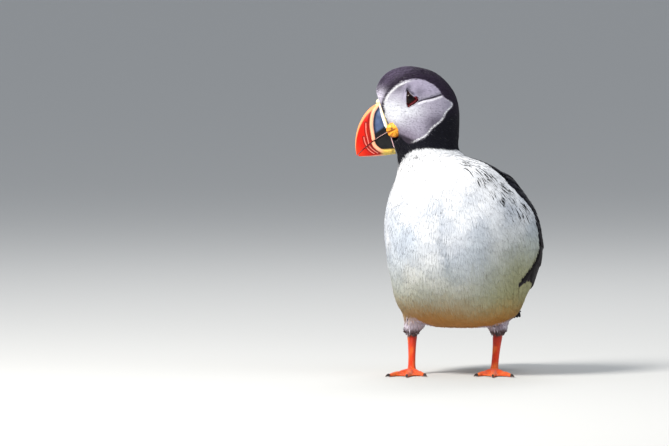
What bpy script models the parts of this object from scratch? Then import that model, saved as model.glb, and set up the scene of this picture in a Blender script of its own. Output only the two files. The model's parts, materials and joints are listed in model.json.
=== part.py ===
"""Atlantic puffin standing on both feet, its head turned over its right shoulder.

A still, life-size model.  Lengths below are in millimetres and are turned into
metres by MM.  +Z is up, the breast faces -Y and the bird's left side is +X.
The flesh is one lofted form from belly to crown, parted by thin cuts.
"""
import math
from dataclasses import dataclass

import bmesh
import bpy
from mathutils import Vector

MM = 0.001
GAP = 0.3               # clearance between neighbouring pieces

# ---- driving dimensions -------------------------------------------------
HEAD_TURN = 74.0        # degrees that the head looks to the bird's right
HEAD_AXIS = (-16.3, -40.0)   # where the upright axis of the head stands
AROUND = 36             # facets round the trunk and head
BILL_TILT = 18.3        # lean of the bill's base plane from upright, degrees
BILL_FACE = (26.9, 167.0)    # a point of that plane: ahead of the axis, height
EYE_AHEAD, EYE_HEIGHT, EYE_RADIUS, EYE_OUT = 10.8, 188.6, 4.8, 14.1
WING_THICK = 3.6
SEAT = 0.6              # extra room under the wings, whose facets span the trunk's
TAIL_ROOT, TAIL_LENGTH, TAIL_DROP, TAIL_SPREAD = (-3.0, 49.0, 62.0), 42.0, 38.0, 21.0
LEG_TOP, FOOT_CUT = 28.0, 6.5
MIDDLE_TOE = 33.0


@dataclass(frozen=True)
class Station:
    """One level section of the body: an egg-shaped ring that may be turned."""

    height: float
    side: float         # centre across, + to the bird's left
    fore: float         # centre fore and aft, - forward
    turn: float         # degrees that the ring's front looks to the right
    front: float        # reach from the centre to the front
    back: float
    half: float         # half width


def head_station(height, centre, front, back, half):
    """A ring of the head, its centre given as a reach ahead of the head's axis."""
    side, fore = ahead_of_axis(centre)
    return Station(height, side, fore, HEAD_TURN, front - centre, centre - back, half)


def forward(turn):
    """Level direction that a section turned by so many degrees looks in."""
    angle = math.radians(turn)
    return Vector((-math.sin(angle), -math.cos(angle), 0.0))


def leftward(turn):
    """Level direction to the left of that."""
    angle = math.radians(turn)
    return Vector((math.cos(angle), -math.sin(angle), 0.0))


def ahead_of_axis(reach):
    """Plan position of a point so far ahead of the head's axis."""
    way = forward(HEAD_TURN)
    return HEAD_AXIS[0] + way.x * reach, HEAD_AXIS[1] + way.y * reach


def head_point(ahead, out, height):
    """A point of the head: ahead of its axis, out to its left, and height."""
    side, fore = ahead_of_axis(ahead)
    left = leftward(HEAD_TURN)
    return Vector((side + left.x * out, fore + left.y * out, height))


STATIONS = [
    Station(31.6, -5.0, 4.0, 0, 0.01, 0.01, 0.01),
    Station(32.2, -5.0, 4.0, 0, 13, 17, 17.5),
    Station(34.6, -4.5, 2.0, 0, 24, 32, 29),
    Station(39.0, -4.6, 0.0, 0, 31, 47, 37.5),
    Station(45.0, -4.8, -2.0, 0, 37, 57.5, 41.9),
    Station(53.0, -4.8, -4.0, 0, 42.5, 63, 44.8),
    Station(62.0, -3.9, -5.5, 0, 47.5, 62.5, 46.0),
    Station(72.0, -2.4, -7.0, 0, 51.5, 58.5, 48.2),
    Station(82.0, -0.8, -8.5, 0, 54, 55, 50.2),
    Station(92.0, -0.8, -10.5, 0, 55.5, 51, 51.4),
    Station(102.0, -0.9, -12.5, 0, 55, 46.5, 50.6),
    Station(112.0, -1.5, -16.0, 0, 51.5, 42.5, 48.6),
    Station(122.0, -2.6, -19.5, 0, 47.5, 37.5, 44.8),
    Station(132.0, -3.8, -23.5, 0, 42.5, 32, 39.6),
    Station(140.0, -5.0, -28.0, 0, 36.5, 29.5, 35.4),
    Station(146.0, -8.5, -33.5, 12, 29.5, 25, 30.0),
    Station(151.0, -14.8, -39.0, 45, 23, 22, 23.2),
    head_station(157.0, 1.0, 26.0, -20.5, 20.6),
    head_station(163.5, 2.0, 28.4, -21.0, 20.3),
    head_station(170.5, 2.0, 30.7, -21.2, 20.5),
    head_station(178.5, 2.0, 33.3, -21.3, 20.0),
    head_station(186.0, 2.0, 35.7, -20.4, 19.2),
    head_station(193.0, 3.0, 36.2, -18.0, 18.0),
    head_station(199.0, 5.0, 34.4, -14.0, 16.3),
    head_station(204.5, 8.0, 30.8, -8.5, 13.8),
    head_station(208.6, 10.5, 25.4, -1.5, 9.6),
    head_station(210.9, 13.0, 18.5, 8.0, 4.0),
    head_station(211.4, 13.5, 13.51, 13.49, 0.01),
]
SUBSTEPS = 2            # rings per span between two stations


# ---- small helpers ------------------------------------------------------
def clear_scene():
    """Start from an empty file."""
    for item in list(bpy.data.objects):
        bpy.data.objects.remove(item, do_unlink=True)


def collection(name):
    """A collection of that name in the scene."""
    made = bpy.data.collections.new(name)
    bpy.context.scene.collection.children.link(made)
    return made


def finish_material(name, colour, roughness, metallic=0.0):
    """A plain Principled finish."""
    made = bpy.data.materials.new(name)
    made.use_nodes = True
    shader = made.node_tree.nodes["Principled BSDF"]
    shader.inputs["Base Color"].default_value = (*colour, 1.0)
    shader.inputs["Roughness"].default_value = roughness
    shader.inputs["Metallic"].default_value = metallic
    return made


def spline(values, place):
    """Catmull-Rom value at a place counted in stations."""
    last = len(values) - 1
    index = min(int(place), last - 1)
    t = place - index
    before = values[max(index - 1, 0)]
    here, there = values[index], values[index + 1]
    after = values[min(index + 2, last)]
    slope_in = (there - before) / 2
    slope_out = (after - here) / 2
    rise = there - here
    return (here + t * slope_in + t * t * (3 * rise - 2 * slope_in - slope_out)
            + t ** 3 * (slope_in + slope_out - 2 * rise))


def body_section(place):
    """The section at a place along the stations."""
    names = ("height", "side", "fore", "turn", "front", "back", "half")
    return Station(*(spline([getattr(s, n) for s in STATIONS], place) for n in names))


def place_at(height):
    """The place along the stations that has this height."""
    low, high = 0.0, len(STATIONS) - 1.0
    for _ in range(30):
        middle = (low + high) / 2
        if body_section(middle).height < height:
            low = middle
        else:
            high = middle
    return low


def section_point(section, angle, swell=0.0):
    """Point of a ring; angle 0 is its front, 90 degrees its left side."""
    along, across = math.cos(angle), math.sin(angle)
    reach = (section.front if along > 0 else section.back) + swell
    centre = Vector((section.side, section.fore, section.height))
    return (centre + forward(section.turn) * along * reach
            + leftward(section.turn) * across * (section.half + swell))


def body_point(height, angle_degrees, lift=0.0):
    """A point lifted off the body's surface along its normal."""
    place, angle = place_at(height), math.radians(angle_degrees)
    step = 0.02
    here = section_point(body_section(place), angle)
    up = section_point(body_section(place + step), angle) - here
    round_ = section_point(body_section(place), angle + step) - here
    return here + round_.cross(up).normalized() * lift


def loft(name, rings, home, material):
    """Closed skin through rings of equal count, the first and last filled."""
    shape = bmesh.new()
    rows = [[shape.verts.new(point * MM) for point in ring] for ring in rings]
    count = len(rings[0])
    for lower, upper in zip(rows, rows[1:]):
        for i in range(count):
            j = (i + 1) % count
            shape.faces.new((lower[i], lower[j], upper[j], upper[i]))
    shape.faces.new(list(reversed(rows[0])))
    shape.faces.new(rows[-1])
    bmesh.ops.recalc_face_normals(shape, faces=shape.faces)
    return as_object(name, shape, home, material)


def as_object(name, shape, home, material):
    """Turn a bmesh into an object of a collection, shaded smooth."""
    mesh = bpy.data.meshes.new(name)
    shape.to_mesh(mesh)
    shape.free()
    mesh.materials.append(material)
    mesh.shade_smooth()
    mesh.set_sharp_from_angle(angle=math.radians(50))
    made = bpy.data.objects.new(name, mesh)
    home.objects.link(made)
    return made


def duplicate(source, name, home, material):
    """A copy with its own mesh."""
    made = bpy.data.objects.new(name, source.data.copy())
    made.data.materials.clear()
    made.data.materials.append(material)
    home.objects.link(made)
    return made


def trim(item, point, normal):
    """Keep the part of a closed mesh on the far side of a plane, and close it."""
    shape = bmesh.new()
    shape.from_mesh(item.data)
    everything = shape.verts[:] + shape.edges[:] + shape.faces[:]
    bmesh.ops.bisect_plane(shape, geom=everything, dist=1e-7, plane_co=point * MM,
                           plane_no=normal, clear_inner=True)
    rim = [edge for edge in shape.edges if edge.is_boundary]
    bmesh.ops.holes_fill(shape, edges=rim, sides=0)
    bmesh.ops.recalc_face_normals(shape, faces=shape.faces)
    shape.to_mesh(item.data)
    shape.free()


def boolean(item, other, operation):
    """Leave an exact Boolean on an object."""
    step = item.modifiers.new(operation.lower(), "BOOLEAN")
    step.operation = operation
    step.solver = "EXACT"
    step.object = other


def bake(item):
    """Apply an object's modifiers to its mesh."""
    graph = bpy.context.evaluated_depsgraph_get()
    mesh = bpy.data.meshes.new_from_object(item.evaluated_get(graph))
    item.modifiers.clear()
    item.data = mesh


def unite(item, others):
    """Join solids into one closed body and drop the originals."""
    for other in others:
        boolean(item, other, "UNION")
    bake(item)
    for other in others:
        bpy.data.objects.remove(other, do_unlink=True)


def as_cutter(item):
    """Mark a helper solid, which is no part of the bird."""
    item.hide_render = True
    item.display_type = "WIRE"
    return item


def oval_ring(centre, across, upward, width, height, count):
    """Ellipse of points round a centre in the plane of two directions."""
    points = []
    for i in range(count):
        angle = 2 * math.pi * i / count
        points.append(centre + across * (width * math.cos(angle))
                      + upward * (height * math.sin(angle)))
    return points


# ---- flesh --------------------------------------------------------------
def body_rings(swell=0.0):
    """Rings of the whole flesh from the belly's underside to the crown."""
    rings = []
    last = len(STATIONS) - 1
    for step in range(last * SUBSTEPS + 1):
        section = body_section(step / SUBSTEPS)
        ring = []
        for i in range(AROUND):
            ring.append(section_point(section, 2 * math.pi * i / AROUND, swell))
        rings.append(ring)
    return rings


def make_flesh(home, cutters, skins):
    """Head, neck and trunk, parted from one whole by two thin cuts."""
    whole = loft("whole", body_rings(), cutters, skins["white"])
    slant = (Vector((0, 0, 1)) + forward(HEAD_TURN) * 0.35).normalized()
    throat = head_point(0, 0, 158.0)
    collar = Vector((0, 0, 145.0))
    upright = Vector((0, 0, 1))

    head = duplicate(whole, "head", home, skins["grey"])
    trim(head, throat + slant * GAP / 2, slant)
    bill_face, bill_way = bill_plane()
    trim(head, bill_face, -bill_way)

    neck = duplicate(whole, "neck", home, skins["black"])
    trim(neck, throat - slant * GAP / 2, -slant)
    trim(neck, collar + upright * GAP / 2, upright)

    trunk = duplicate(whole, "trunk", home, skins["white"])
    trim(trunk, collar - upright * GAP / 2, -upright)
    bpy.data.objects.remove(whole, do_unlink=True)
    return head


def trunk_cutter(cutters, material):
    """The trunk swollen by the clearance, to seat what grows from it."""
    return as_cutter(loft("trunk_seat", body_rings(GAP), cutters, material))


# ---- wings and tail -----------------------------------------------------
# Angle round the body and height of the folded wing's lower and upper edge,
# in step from the shoulder to the wing's tip beside the tail.
WING_LOWER = [(100, 137), (86, 128), (80, 113), (79, 97), (79, 82), (81, 68), (98, 59), (126, 54), (152, 50)]
WING_UPPER = [(148, 138), (156, 131), (160, 120), (162, 108), (163, 95), (163, 82), (162, 70), (160, 60), (157, 52)]


def edge_point(edge, part):
    """Angle and height at a part of the way along a wing's edge."""
    place = part * (len(edge) - 1)
    return spline([p[0] for p in edge], place), spline([p[1] for p in edge], place)


def make_wing(name, sign, home, material):
    """Folded wing: a long shell that lies on the trunk from shoulder to tail."""
    rows, columns = 15, 8
    rings = []
    for i in range(rows):
        down = i / (rows - 1)
        low, high = edge_point(WING_LOWER, down), edge_point(WING_UPPER, down)
        inner, outer = [], []
        for j in range(columns):
            up = j / (columns - 1)
            angle = sign * (low[0] + (high[0] - low[0]) * up)
            height = low[1] + (high[1] - low[1]) * up
            bulge = (math.sin(math.pi * up) * math.sin(math.pi * (0.08 + 0.84 * down))) ** 0.5
            thick = 0.8 + (WING_THICK - 0.8) * bulge
            inner.append(body_point(height, angle, GAP + SEAT))
            outer.append(body_point(height, angle, GAP + SEAT + thick))
        rings.append(inner + list(reversed(outer)))
    return loft(name, rings, home, material)


def make_tail(home, cutter, material):
    """Short rounded fan of tail feathers below the rump."""
    drop = math.radians(TAIL_DROP)
    back = Vector((0, math.cos(drop), -math.sin(drop)))
    top = Vector((0, math.sin(drop), math.cos(drop)))
    root = Vector(TAIL_ROOT)
    rays, steps = 13, 6
    rings = []
    for i in range(rays):
        part = 2 * i / (rays - 1) - 1
        angle = math.radians(TAIL_SPREAD) * part
        way = back * math.cos(angle) + Vector((math.sin(angle), 0, 0))
        length = TAIL_LENGTH * (1 - 0.13 * part * part)
        start = root + Vector((9.0 * part, 0, 0))
        lower, upper = [], []
        for j in range(steps):
            along = j / (steps - 1)
            middle = start + way * length * along - top * (3.5 * part * part)
            half = 0.5 + 1.9 * (1 - along) * (1 - 0.45 * part * part)
            lower.append(middle - top * half)
            upper.append(middle + top * half)
        rings.append(lower + list(reversed(upper)))
    tail = loft("tail", rings, home, material)
    boolean(tail, cutter, "DIFFERENCE")
    return tail


# ---- bill ---------------------------------------------------------------
def bill_plane():
    """Plane where the bill meets the feathers, and the way the bill points."""
    lean = math.radians(BILL_TILT)
    way = forward(HEAD_TURN) * math.cos(lean) - Vector((0, 0, math.sin(lean)))
    return head_point(BILL_FACE[0], 0, BILL_FACE[1]), way


def bezier(points, t):
    """Point of a Bezier curve of any degree in (ahead, height)."""
    row = [Vector(p) for p in points]
    while len(row) > 1:
        row = [a.lerp(b, t) for a, b in zip(row, row[1:])]
    return row[0]


CULMEN = [(33.3, 186.6), (45.0, 182.3), (52.0, 164.5), (47.6, 150.9)]
GAPE_UPPER = [(27.1, 167.2), (40.6, 163.0), (47.3, 151.8)]
GAPE_LOWER = [(27.0, 166.7), (40.4, 162.4), (46.9, 151.6)]
GONYS = [(21.9, 152.8), (36.0, 150.2), (46.6, 150.9)]


def mandible(name, edge, keel, base_halves, tip_half, home, material, from_part=0.0):
    """Half of the bill between its cutting edge and its outer edge."""
    steps = 10
    profile = ((0.0, 0.0), (0.3, 0.12), (0.58, 0.33), (0.8, 0.6), (0.94, 0.92))
    rings = []
    for i in range(steps):
        t = from_part + (1 - from_part) * i / (steps - 1)
        near, far = bezier(edge, t), bezier(keel, t)
        taper = (1 - t) ** 0.8
        wide = tip_half + (base_halves[0] - tip_half) * taper
        thin = tip_half * 0.8 + (base_halves[1] - tip_half * 0.8) * taper
        left, right = [], []
        for rise, share in profile:
            spot = near.lerp(far, rise)
            half = wide + (thin - wide) * share
            left.append(head_point(spot.x, half, spot.y))
            right.append(head_point(spot.x, -half, spot.y))
        crest = [head_point(far.x, thin * 0.5, far.y), head_point(far.x, -thin * 0.5, far.y)]
        rings.append(left + crest + list(reversed(right)))
    return loft(name, rings, home, material)


def make_cere(home, material):
    """Pale fleshy strip between the feathers and the upper half of the bill."""
    _, way = bill_plane()
    low, high = Vector((27.4, 167.0)), Vector((33.6, 186.9))
    rings = []
    for reach, proud in ((GAP, 0.5), (1.1, 0.8), (1.9, 0.3)):
        ring = []
        for rise, half in ((0.0, 8.6), (0.3, 8.3), (0.6, 7.0), (0.82, 5.3), (0.96, 3.4)):
            spot = low.lerp(high, rise)
            ring.append(head_point(spot.x, half + proud, spot.y))
        top = high + Vector((0.0, proud))
        ring.append(head_point(top.x, 1.6, top.y))
        for point in list(reversed(ring)):
            ring.append(mirror_in_head(point))
        rings.append([point + way * reach for point in ring])
    return loft("cere", rings, home, material)


def mirror_in_head(point):
    """The same point on the other side of the head's middle plane."""
    left = leftward(HEAD_TURN)
    centre = head_point(0, 0, 0)
    return point - left * 2 * (point - centre).dot(left)


def oval_ball(name, centre, radii, home, material, segments=12, rows=8):
    """Ball with its own radii ahead, out and up, set in the head's frame."""
    axes = (forward(HEAD_TURN), leftward(HEAD_TURN), Vector((0, 0, 1)))
    shape = bmesh.new()
    bmesh.ops.create_uvsphere(shape, u_segments=segments, v_segments=rows, radius=1.0)
    for vert in shape.verts:
        spread = Vector((0, 0, 0))
        for axis, radius, part in zip(axes, radii, vert.co):
            spread += axis * radius * part
        vert.co = (centre + spread) * MM
    bmesh.ops.recalc_face_normals(shape, faces=shape.faces)
    return as_object(name, shape, home, material)


def make_bill(home, head, cutters, skins):
    """Upper and lower mandible, the cere and the two gape rosettes."""
    upper = mandible("bill_upper", GAPE_UPPER, CULMEN, (7.9, 3.2), 1.2, home, skins["red"], 0.09)
    lower = mandible("bill_lower", GAPE_LOWER, GONYS, (7.4, 4.2), 1.0, home, skins["red"], 0.02)
    cere = make_cere(home, skins["cream"])
    bill_face, bill_way = bill_plane()
    trim(lower, bill_face + bill_way * GAP, bill_way)
    for side, sign in (("left", 1), ("right", -1)):
        centre = head_point(23.2, sign * 11.6, 166.8)
        oval_ball("rosette_" + side, centre, (4.2, 3.4, 5.0), home, skins["yellow"])
        grown = (4.2 + GAP, 3.4 + GAP, 5.0 + GAP)
        seat = as_cutter(oval_ball("rosette_seat_" + side, centre, grown, cutters, skins["yellow"]))
        for item in (head, cere, upper, lower):
            boolean(item, seat, "DIFFERENCE")


def make_eyes(home, head, cutters, skins):
    """Eyeballs in their sockets."""
    for side, sign in (("left", 1), ("right", -1)):
        centre = head_point(EYE_AHEAD, sign * EYE_OUT, EYE_HEIGHT)
        radii = (EYE_RADIUS,) * 3
        oval_ball("eye_" + side, centre, radii, home, skins["dark"], 14, 10)
        grown = (EYE_RADIUS + GAP,) * 3
        socket = oval_ball("socket_" + side, centre, grown, cutters, skins["dark"], 14, 10)
        boolean(head, as_cutter(socket), "DIFFERENCE")


# ---- legs and feet ------------------------------------------------------
@dataclass(frozen=True)
class Leg:
    """Where one leg stands and how its foot is turned out."""

    side: str
    ankle: tuple        # plan position of the foot's root
    knee: tuple         # plan position where the leg enters the feathers
    turn: float         # degrees that the foot points to the right
    outer: int          # +1 if the outer toe is on the left
    tuck: float         # how far the thigh leans in under the belly as it widens


LEGS = (
    Leg("left", (18.8, 1.0), (20.6, 5.0), -16.0, 1, 0.5),
    Leg("right", (-35.4, -13.0), (-36.0, -9.5), -8.0, -1, 1.0),
)
TOES = (("inner", -27.0, 0.76), ("middle", -2.0, 1.0), ("outer", 21.0, 0.95))
CLAW_LENGTH = 5.4


def toe_way(leg, spread):
    """Level direction of a toe."""
    return forward(leg.turn - leg.outer * spread)


def make_toe(leg, spread, length, cutters, material):
    """A tapering toe with swollen joints, lying on the ground."""
    way = toe_way(leg, spread)
    across = way.cross(Vector((0, 0, 1)))
    root = Vector((*leg.ankle, 0))
    stops = ((-0.8 - 0.03 * length, 1.7, 1.8), (0.2, 2.4, 2.5), (0.42, 2.3, 2.2), (0.55, 1.9, 1.8),
             (0.7, 2.0, 1.9), (0.92, 1.6, 1.5), (1.0, 1.1, 1.2))
    rings = []
    for along, width, height in stops:
        reach = along if along < 0 else along * length
        centre = root + way * reach + Vector((0, 0, height * 0.82))
        rings.append(oval_ring(centre, across, Vector((0, 0, 1)), width, height, 7))
    return loft("toe", rings, cutters, material)


def make_web(leg, cutters, material):
    """Webbing across the three toes, its free edge hollowed between them."""
    root = Vector((*leg.ankle, 0))
    rings = []
    steps = 4
    for first, second in zip(TOES, TOES[1:]):
        for i in range(steps if first is TOES[0] else steps + 1):
            part = i / steps
            spread = first[1] + (second[1] - first[1]) * part
            share = first[2] + (second[2] - first[2]) * part
            reach = MIDDLE_TOE * share * (0.9 - 0.17 * math.sin(math.pi * part))
            way = toe_way(leg, spread)
            ring = []
            for reach_part, level in ((0.12, 0.5), (0.98, 0.3), (1.0, 0.6), (0.98, 1.1), (0.12, 1.9)):
                ring.append(root + way * reach * reach_part + Vector((0, 0, level)))
            rings.append(ring)
    return loft("web", rings, cutters, material)


def make_shank(leg, cutters, material):
    """Bare leg from the foot's root up into the feathers."""
    low, high = Vector((*leg.ankle, 0)), Vector((*leg.knee, LEG_TOP))
    way = toe_way(leg, 0)
    across = way.cross(Vector((0, 0, 1)))
    rings = []
    for part, width, depth in ((-0.03, 2.8, 3.0), (0.1, 3.2, 3.7), (0.2, 2.7, 3.1), (0.45, 2.55, 2.95),
                               (0.7, 2.9, 3.3), (0.88, 3.4, 4.0), (1.0, 3.5, 4.1)):
        rings.append(oval_ring(low.lerp(high, part), across, way, width, depth, 10))
    return loft("shank", rings, cutters, material)


def make_claw(leg, toe, length, home, material):
    """Curved claw beyond a toe's end."""
    name, spread, share = toe
    way = toe_way(leg, spread)
    across = way.cross(Vector((0, 0, 1)))
    start = Vector((*leg.ankle, 0)) + way * (MIDDLE_TOE * share + GAP)
    rings = []
    for part, height, radius in ((0.0, 1.25, 1.0), (0.3, 1.45, 0.95), (0.65, 1.25, 0.65), (1.0, 0.65, 0.3)):
        centre = start + way * length * part + Vector((0, 0, height))
        rings.append(oval_ring(centre, across, Vector((0, 0, 1)), radius, radius * 1.15, 8))
    return loft("claw_%s_%s" % (leg.side, name), rings, home, material)


def make_leg(leg, home, cutters, seat, skins):
    """Thigh, bare leg, webbed foot and claws of one side."""
    shank = make_shank(leg, cutters, skins["orange"])
    limbs = []
    for _, spread, share in TOES:
        limbs.append(make_toe(leg, spread, MIDDLE_TOE * share, cutters, skins["orange"]))
    limbs.append(make_web(leg, cutters, skins["orange"]))
    unite(shank, limbs)
    up = Vector((0, 0, 1))
    trim(shank, Vector((0, 0, 0)), up)
    foot = duplicate(shank, "foot_" + leg.side, home, skins["orange"])
    trim(foot, up * (FOOT_CUT - GAP / 2), -up)
    bare = duplicate(shank, "leg_" + leg.side, home, skins["orange"])
    trim(bare, up * (FOOT_CUT + GAP / 2), up)
    bpy.data.objects.remove(shank, do_unlink=True)
    for toe in TOES:
        make_claw(leg, toe, CLAW_LENGTH * (0.8 + 0.2 * toe[2]), home, skins["claw"])

    rings = []
    foot_of_thigh = Vector((*leg.knee, LEG_TOP + GAP))
    for rise, radius in ((0.0, 5.2), (2.2, 6.3), (5.5, 7.6), (10.0, 9.5), (16.0, 12.0)):
        inward = -leg.outer * (radius - 5.8) * leg.tuck
        centre = foot_of_thigh + up * rise + Vector((inward, 0.25 * rise, 0))
        rings.append(oval_ring(centre, Vector((1, 0, 0)), Vector((0, 1, 0)), radius, radius * 1.2, 14))
    thigh = loft("thigh_" + leg.side, rings, home, skins["white"])
    boolean(thigh, seat, "DIFFERENCE")


# ---- whole bird ---------------------------------------------------------
def centre_on_origin(parts):
    """Stand the bird on z = 0 with the middle of its box over the origin."""
    bpy.context.view_layer.update()
    corners = [item.matrix_world @ Vector(c) for item in parts for c in item.bound_box]
    for axis in (0, 1):
        values = [corner[axis] for corner in corners]
        middle = (min(values) + max(values)) / 2
        for item in bpy.data.objects:
            item.location[axis] -= middle


def main():
    """Build every piece of the bird."""
    clear_scene()
    home, cutters = collection("atlantic_puffin"), collection("cutters")
    skins = {
        "white": finish_material("white_feather", (0.86, 0.87, 0.88), 0.8),
        "black": finish_material("black_feather", (0.02, 0.018, 0.025), 0.6),
        "grey": finish_material("grey_feather", (0.55, 0.54, 0.6), 0.8),
        "red": finish_material("red_horn", (0.75, 0.05, 0.01), 0.35),
        "cream": finish_material("cream_skin", (0.9, 0.78, 0.5), 0.5),
        "yellow": finish_material("yellow_skin", (0.95, 0.45, 0.03), 0.5),
        "orange": finish_material("orange_skin", (0.9, 0.16, 0.01), 0.5),
        "dark": finish_material("dark_eye", (0.03, 0.015, 0.01), 0.08),
        "claw": finish_material("black_claw", (0.03, 0.03, 0.035), 0.35),
    }
    head = make_flesh(home, cutters, skins)
    make_eyes(home, head, cutters, skins)
    make_bill(home, head, cutters, skins)
    seat = trunk_cutter(cutters, skins["white"])
    make_wing("wing_left", 1, home, skins["black"])
    make_wing("wing_right", -1, home, skins["black"])
    make_tail(home, seat, skins["black"])
    for leg in LEGS:
        make_leg(leg, home, cutters, seat, skins)
    centre_on_origin(home.objects)


main()
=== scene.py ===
"""Looks of a standing Atlantic puffin: one skin, its coat of feathers, bill, eyes, claws and feet.

Lengths are in metres; MM turns millimetres into them.  Every place is worked out from the frame.
"""
import json
import logging
import math
from dataclasses import dataclass, field
from enum import Enum
from typing import Callable, Iterable, Sequence

import bmesh
import bpy
import numpy as np
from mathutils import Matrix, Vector
from mathutils.bvhtree import BVHTree

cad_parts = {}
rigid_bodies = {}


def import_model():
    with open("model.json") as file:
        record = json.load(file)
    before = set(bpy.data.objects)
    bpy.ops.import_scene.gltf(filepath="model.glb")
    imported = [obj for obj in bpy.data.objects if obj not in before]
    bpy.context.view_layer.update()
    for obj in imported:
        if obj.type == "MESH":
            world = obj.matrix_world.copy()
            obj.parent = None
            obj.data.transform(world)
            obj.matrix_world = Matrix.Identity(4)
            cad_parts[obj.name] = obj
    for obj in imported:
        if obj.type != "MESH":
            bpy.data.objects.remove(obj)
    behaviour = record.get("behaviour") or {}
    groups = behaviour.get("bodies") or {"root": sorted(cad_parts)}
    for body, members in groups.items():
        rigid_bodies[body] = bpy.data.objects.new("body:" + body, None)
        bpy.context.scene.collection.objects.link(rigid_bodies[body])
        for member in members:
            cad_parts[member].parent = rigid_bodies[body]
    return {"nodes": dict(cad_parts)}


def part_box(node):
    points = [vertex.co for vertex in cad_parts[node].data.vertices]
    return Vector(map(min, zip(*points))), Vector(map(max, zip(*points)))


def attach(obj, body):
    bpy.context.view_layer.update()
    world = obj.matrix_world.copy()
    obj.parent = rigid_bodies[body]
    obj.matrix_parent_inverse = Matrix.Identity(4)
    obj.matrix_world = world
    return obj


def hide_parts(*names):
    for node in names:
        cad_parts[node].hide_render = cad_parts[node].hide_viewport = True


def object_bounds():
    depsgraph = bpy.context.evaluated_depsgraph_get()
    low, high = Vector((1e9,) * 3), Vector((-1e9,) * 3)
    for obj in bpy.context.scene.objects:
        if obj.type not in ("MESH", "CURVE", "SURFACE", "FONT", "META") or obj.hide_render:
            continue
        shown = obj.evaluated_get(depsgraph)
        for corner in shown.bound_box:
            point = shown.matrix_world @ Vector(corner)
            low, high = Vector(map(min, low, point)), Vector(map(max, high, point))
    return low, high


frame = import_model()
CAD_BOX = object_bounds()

LOG = logging.getLogger("puffin")
MM = 0.001
MERGE = 0.00001
TINY = 1e-12
UP = Vector((0.0, 0.0, 1.0))
BODY = "root"
FLESH = ("head", "neck", "trunk", "tail", "wing_left", "wing_right", "thigh_left", "thigh_right",
         "leg_left", "leg_right", "foot_left", "foot_right")


class Side(Enum):
    """The two sides of the bird."""

    LEFT = 1
    RIGHT = -1

    @property
    def word(self) -> str:
        """Lower-case name, as the CAD nodes have it."""
        return self.name.lower()


# ---- small number tools --------------------------------------------------
def smooth(low: float, high: float, value: np.ndarray) -> np.ndarray:
    """Smooth step from 0 at low to 1 at high."""
    part = np.clip((value - low) / (high - low), 0.0, 1.0)
    return part * part * (3 - 2 * part)


def bump(value: np.ndarray, width: float) -> np.ndarray:
    """A round hump of height 1 at value 0 that is gone past the width."""
    return np.exp(-(value / width) ** 2 * 2.5)


def mix(one: np.ndarray, other: Sequence[float], part: np.ndarray) -> np.ndarray:
    """Blend rows of colours towards one colour."""
    return one * (1 - part[:, None]) + np.array(other)[None, :] * part[:, None]


def plain(colour: Sequence[float], count: int) -> np.ndarray:
    """Rows of one colour."""
    return np.tile(np.array(colour), (count, 1))


def layered(tint: np.ndarray, *layers: tuple) -> np.ndarray:
    """Blend rows of colours towards one colour after another.

    Args:
        tint: the colours to start from, one a row.
        layers: pairs of a colour and the part of the way that each row goes towards it.

    Returns:
        The blended colours.
    """
    for colour, part in layers:
        tint = mix(tint, colour, part)
    return tint


def blended(one: np.ndarray, other: np.ndarray, part: np.ndarray) -> np.ndarray:
    """Blend rows of colours towards other rows."""
    return one * (1 - part[:, None]) + other * part[:, None]


def wave(points: np.ndarray, scale: float, seed: float) -> np.ndarray:
    """Soft repeatable unevenness between 0 and 1 over space.

    Args:
        points: world points, one a row.
        scale: rough size of a patch in metres.
        seed: shifts the pattern.

    Returns:
        One number for each point.
    """
    p = points / scale
    total = np.zeros(len(points))
    for k, (a, b, c) in enumerate(((1.0, 0.7, 0.3), (-0.6, 1.1, 0.8), (0.5, -0.9, 1.2), (1.3, 0.4, -1.1))):
        total += np.sin(a * p[:, 0] + b * p[:, 1] + c * p[:, 2] + seed * (k + 1.7))
    return 0.5 + total / 8


class Trace:
    """A smooth open line in a plane, drawn through a few knots."""

    def __init__(self, knots: Sequence[Sequence[float]], fine: int = 8) -> None:
        """Sample the line through the knots.

        Args:
            knots: points that the line goes through.
            fine: number of samples between two knots.
        """
        k = np.array(knots, dtype=float)
        pad = np.vstack((2 * k[0] - k[1], k, 2 * k[-1] - k[-2]))
        rows = []
        for i in range(len(k) - 1):
            for t in np.linspace(0, 1, fine, endpoint=False):
                a, b, c, d = pad[i], pad[i + 1], pad[i + 2], pad[i + 3]
                rows.append(0.5 * (2 * b + (c - a) * t + (2 * a - 5 * b + 4 * c - d) * t * t
                                   + (3 * b - a - 3 * c + d) * t ** 3))
        rows.append(k[-1])
        self.line = np.array(rows)

    def distance(self, places: np.ndarray) -> np.ndarray:
        """Distance of each point of the plane from the line.

        Args:
            places: points of the plane, one a row.

        Returns:
            One distance for each point.
        """
        best = np.full(len(places), np.inf)
        for a, b in zip(self.line, self.line[1:]):
            way = b - a
            part = np.clip((places - a) @ way / (way @ way + 1e-12), 0, 1)
            best = np.minimum(best, np.linalg.norm(places - a - part[:, None] * way, axis=1))
        return best

    def at(self, part: np.ndarray) -> np.ndarray:
        """Points at parts of the way along the line.

        Args:
            part: numbers from 0 to 1.

        Returns:
            One point a row.
        """
        place = np.clip(part, 0, 1) * (len(self.line) - 1)
        index = np.arange(len(self.line))
        return np.stack([np.interp(place, index, column) for column in self.line.T], axis=-1)


# ---- places taken from the frame ----------------------------------------
def middle(node: str) -> Vector:
    """Centre of a node's box."""
    low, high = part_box(node)
    return (low + high) / 2


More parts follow.
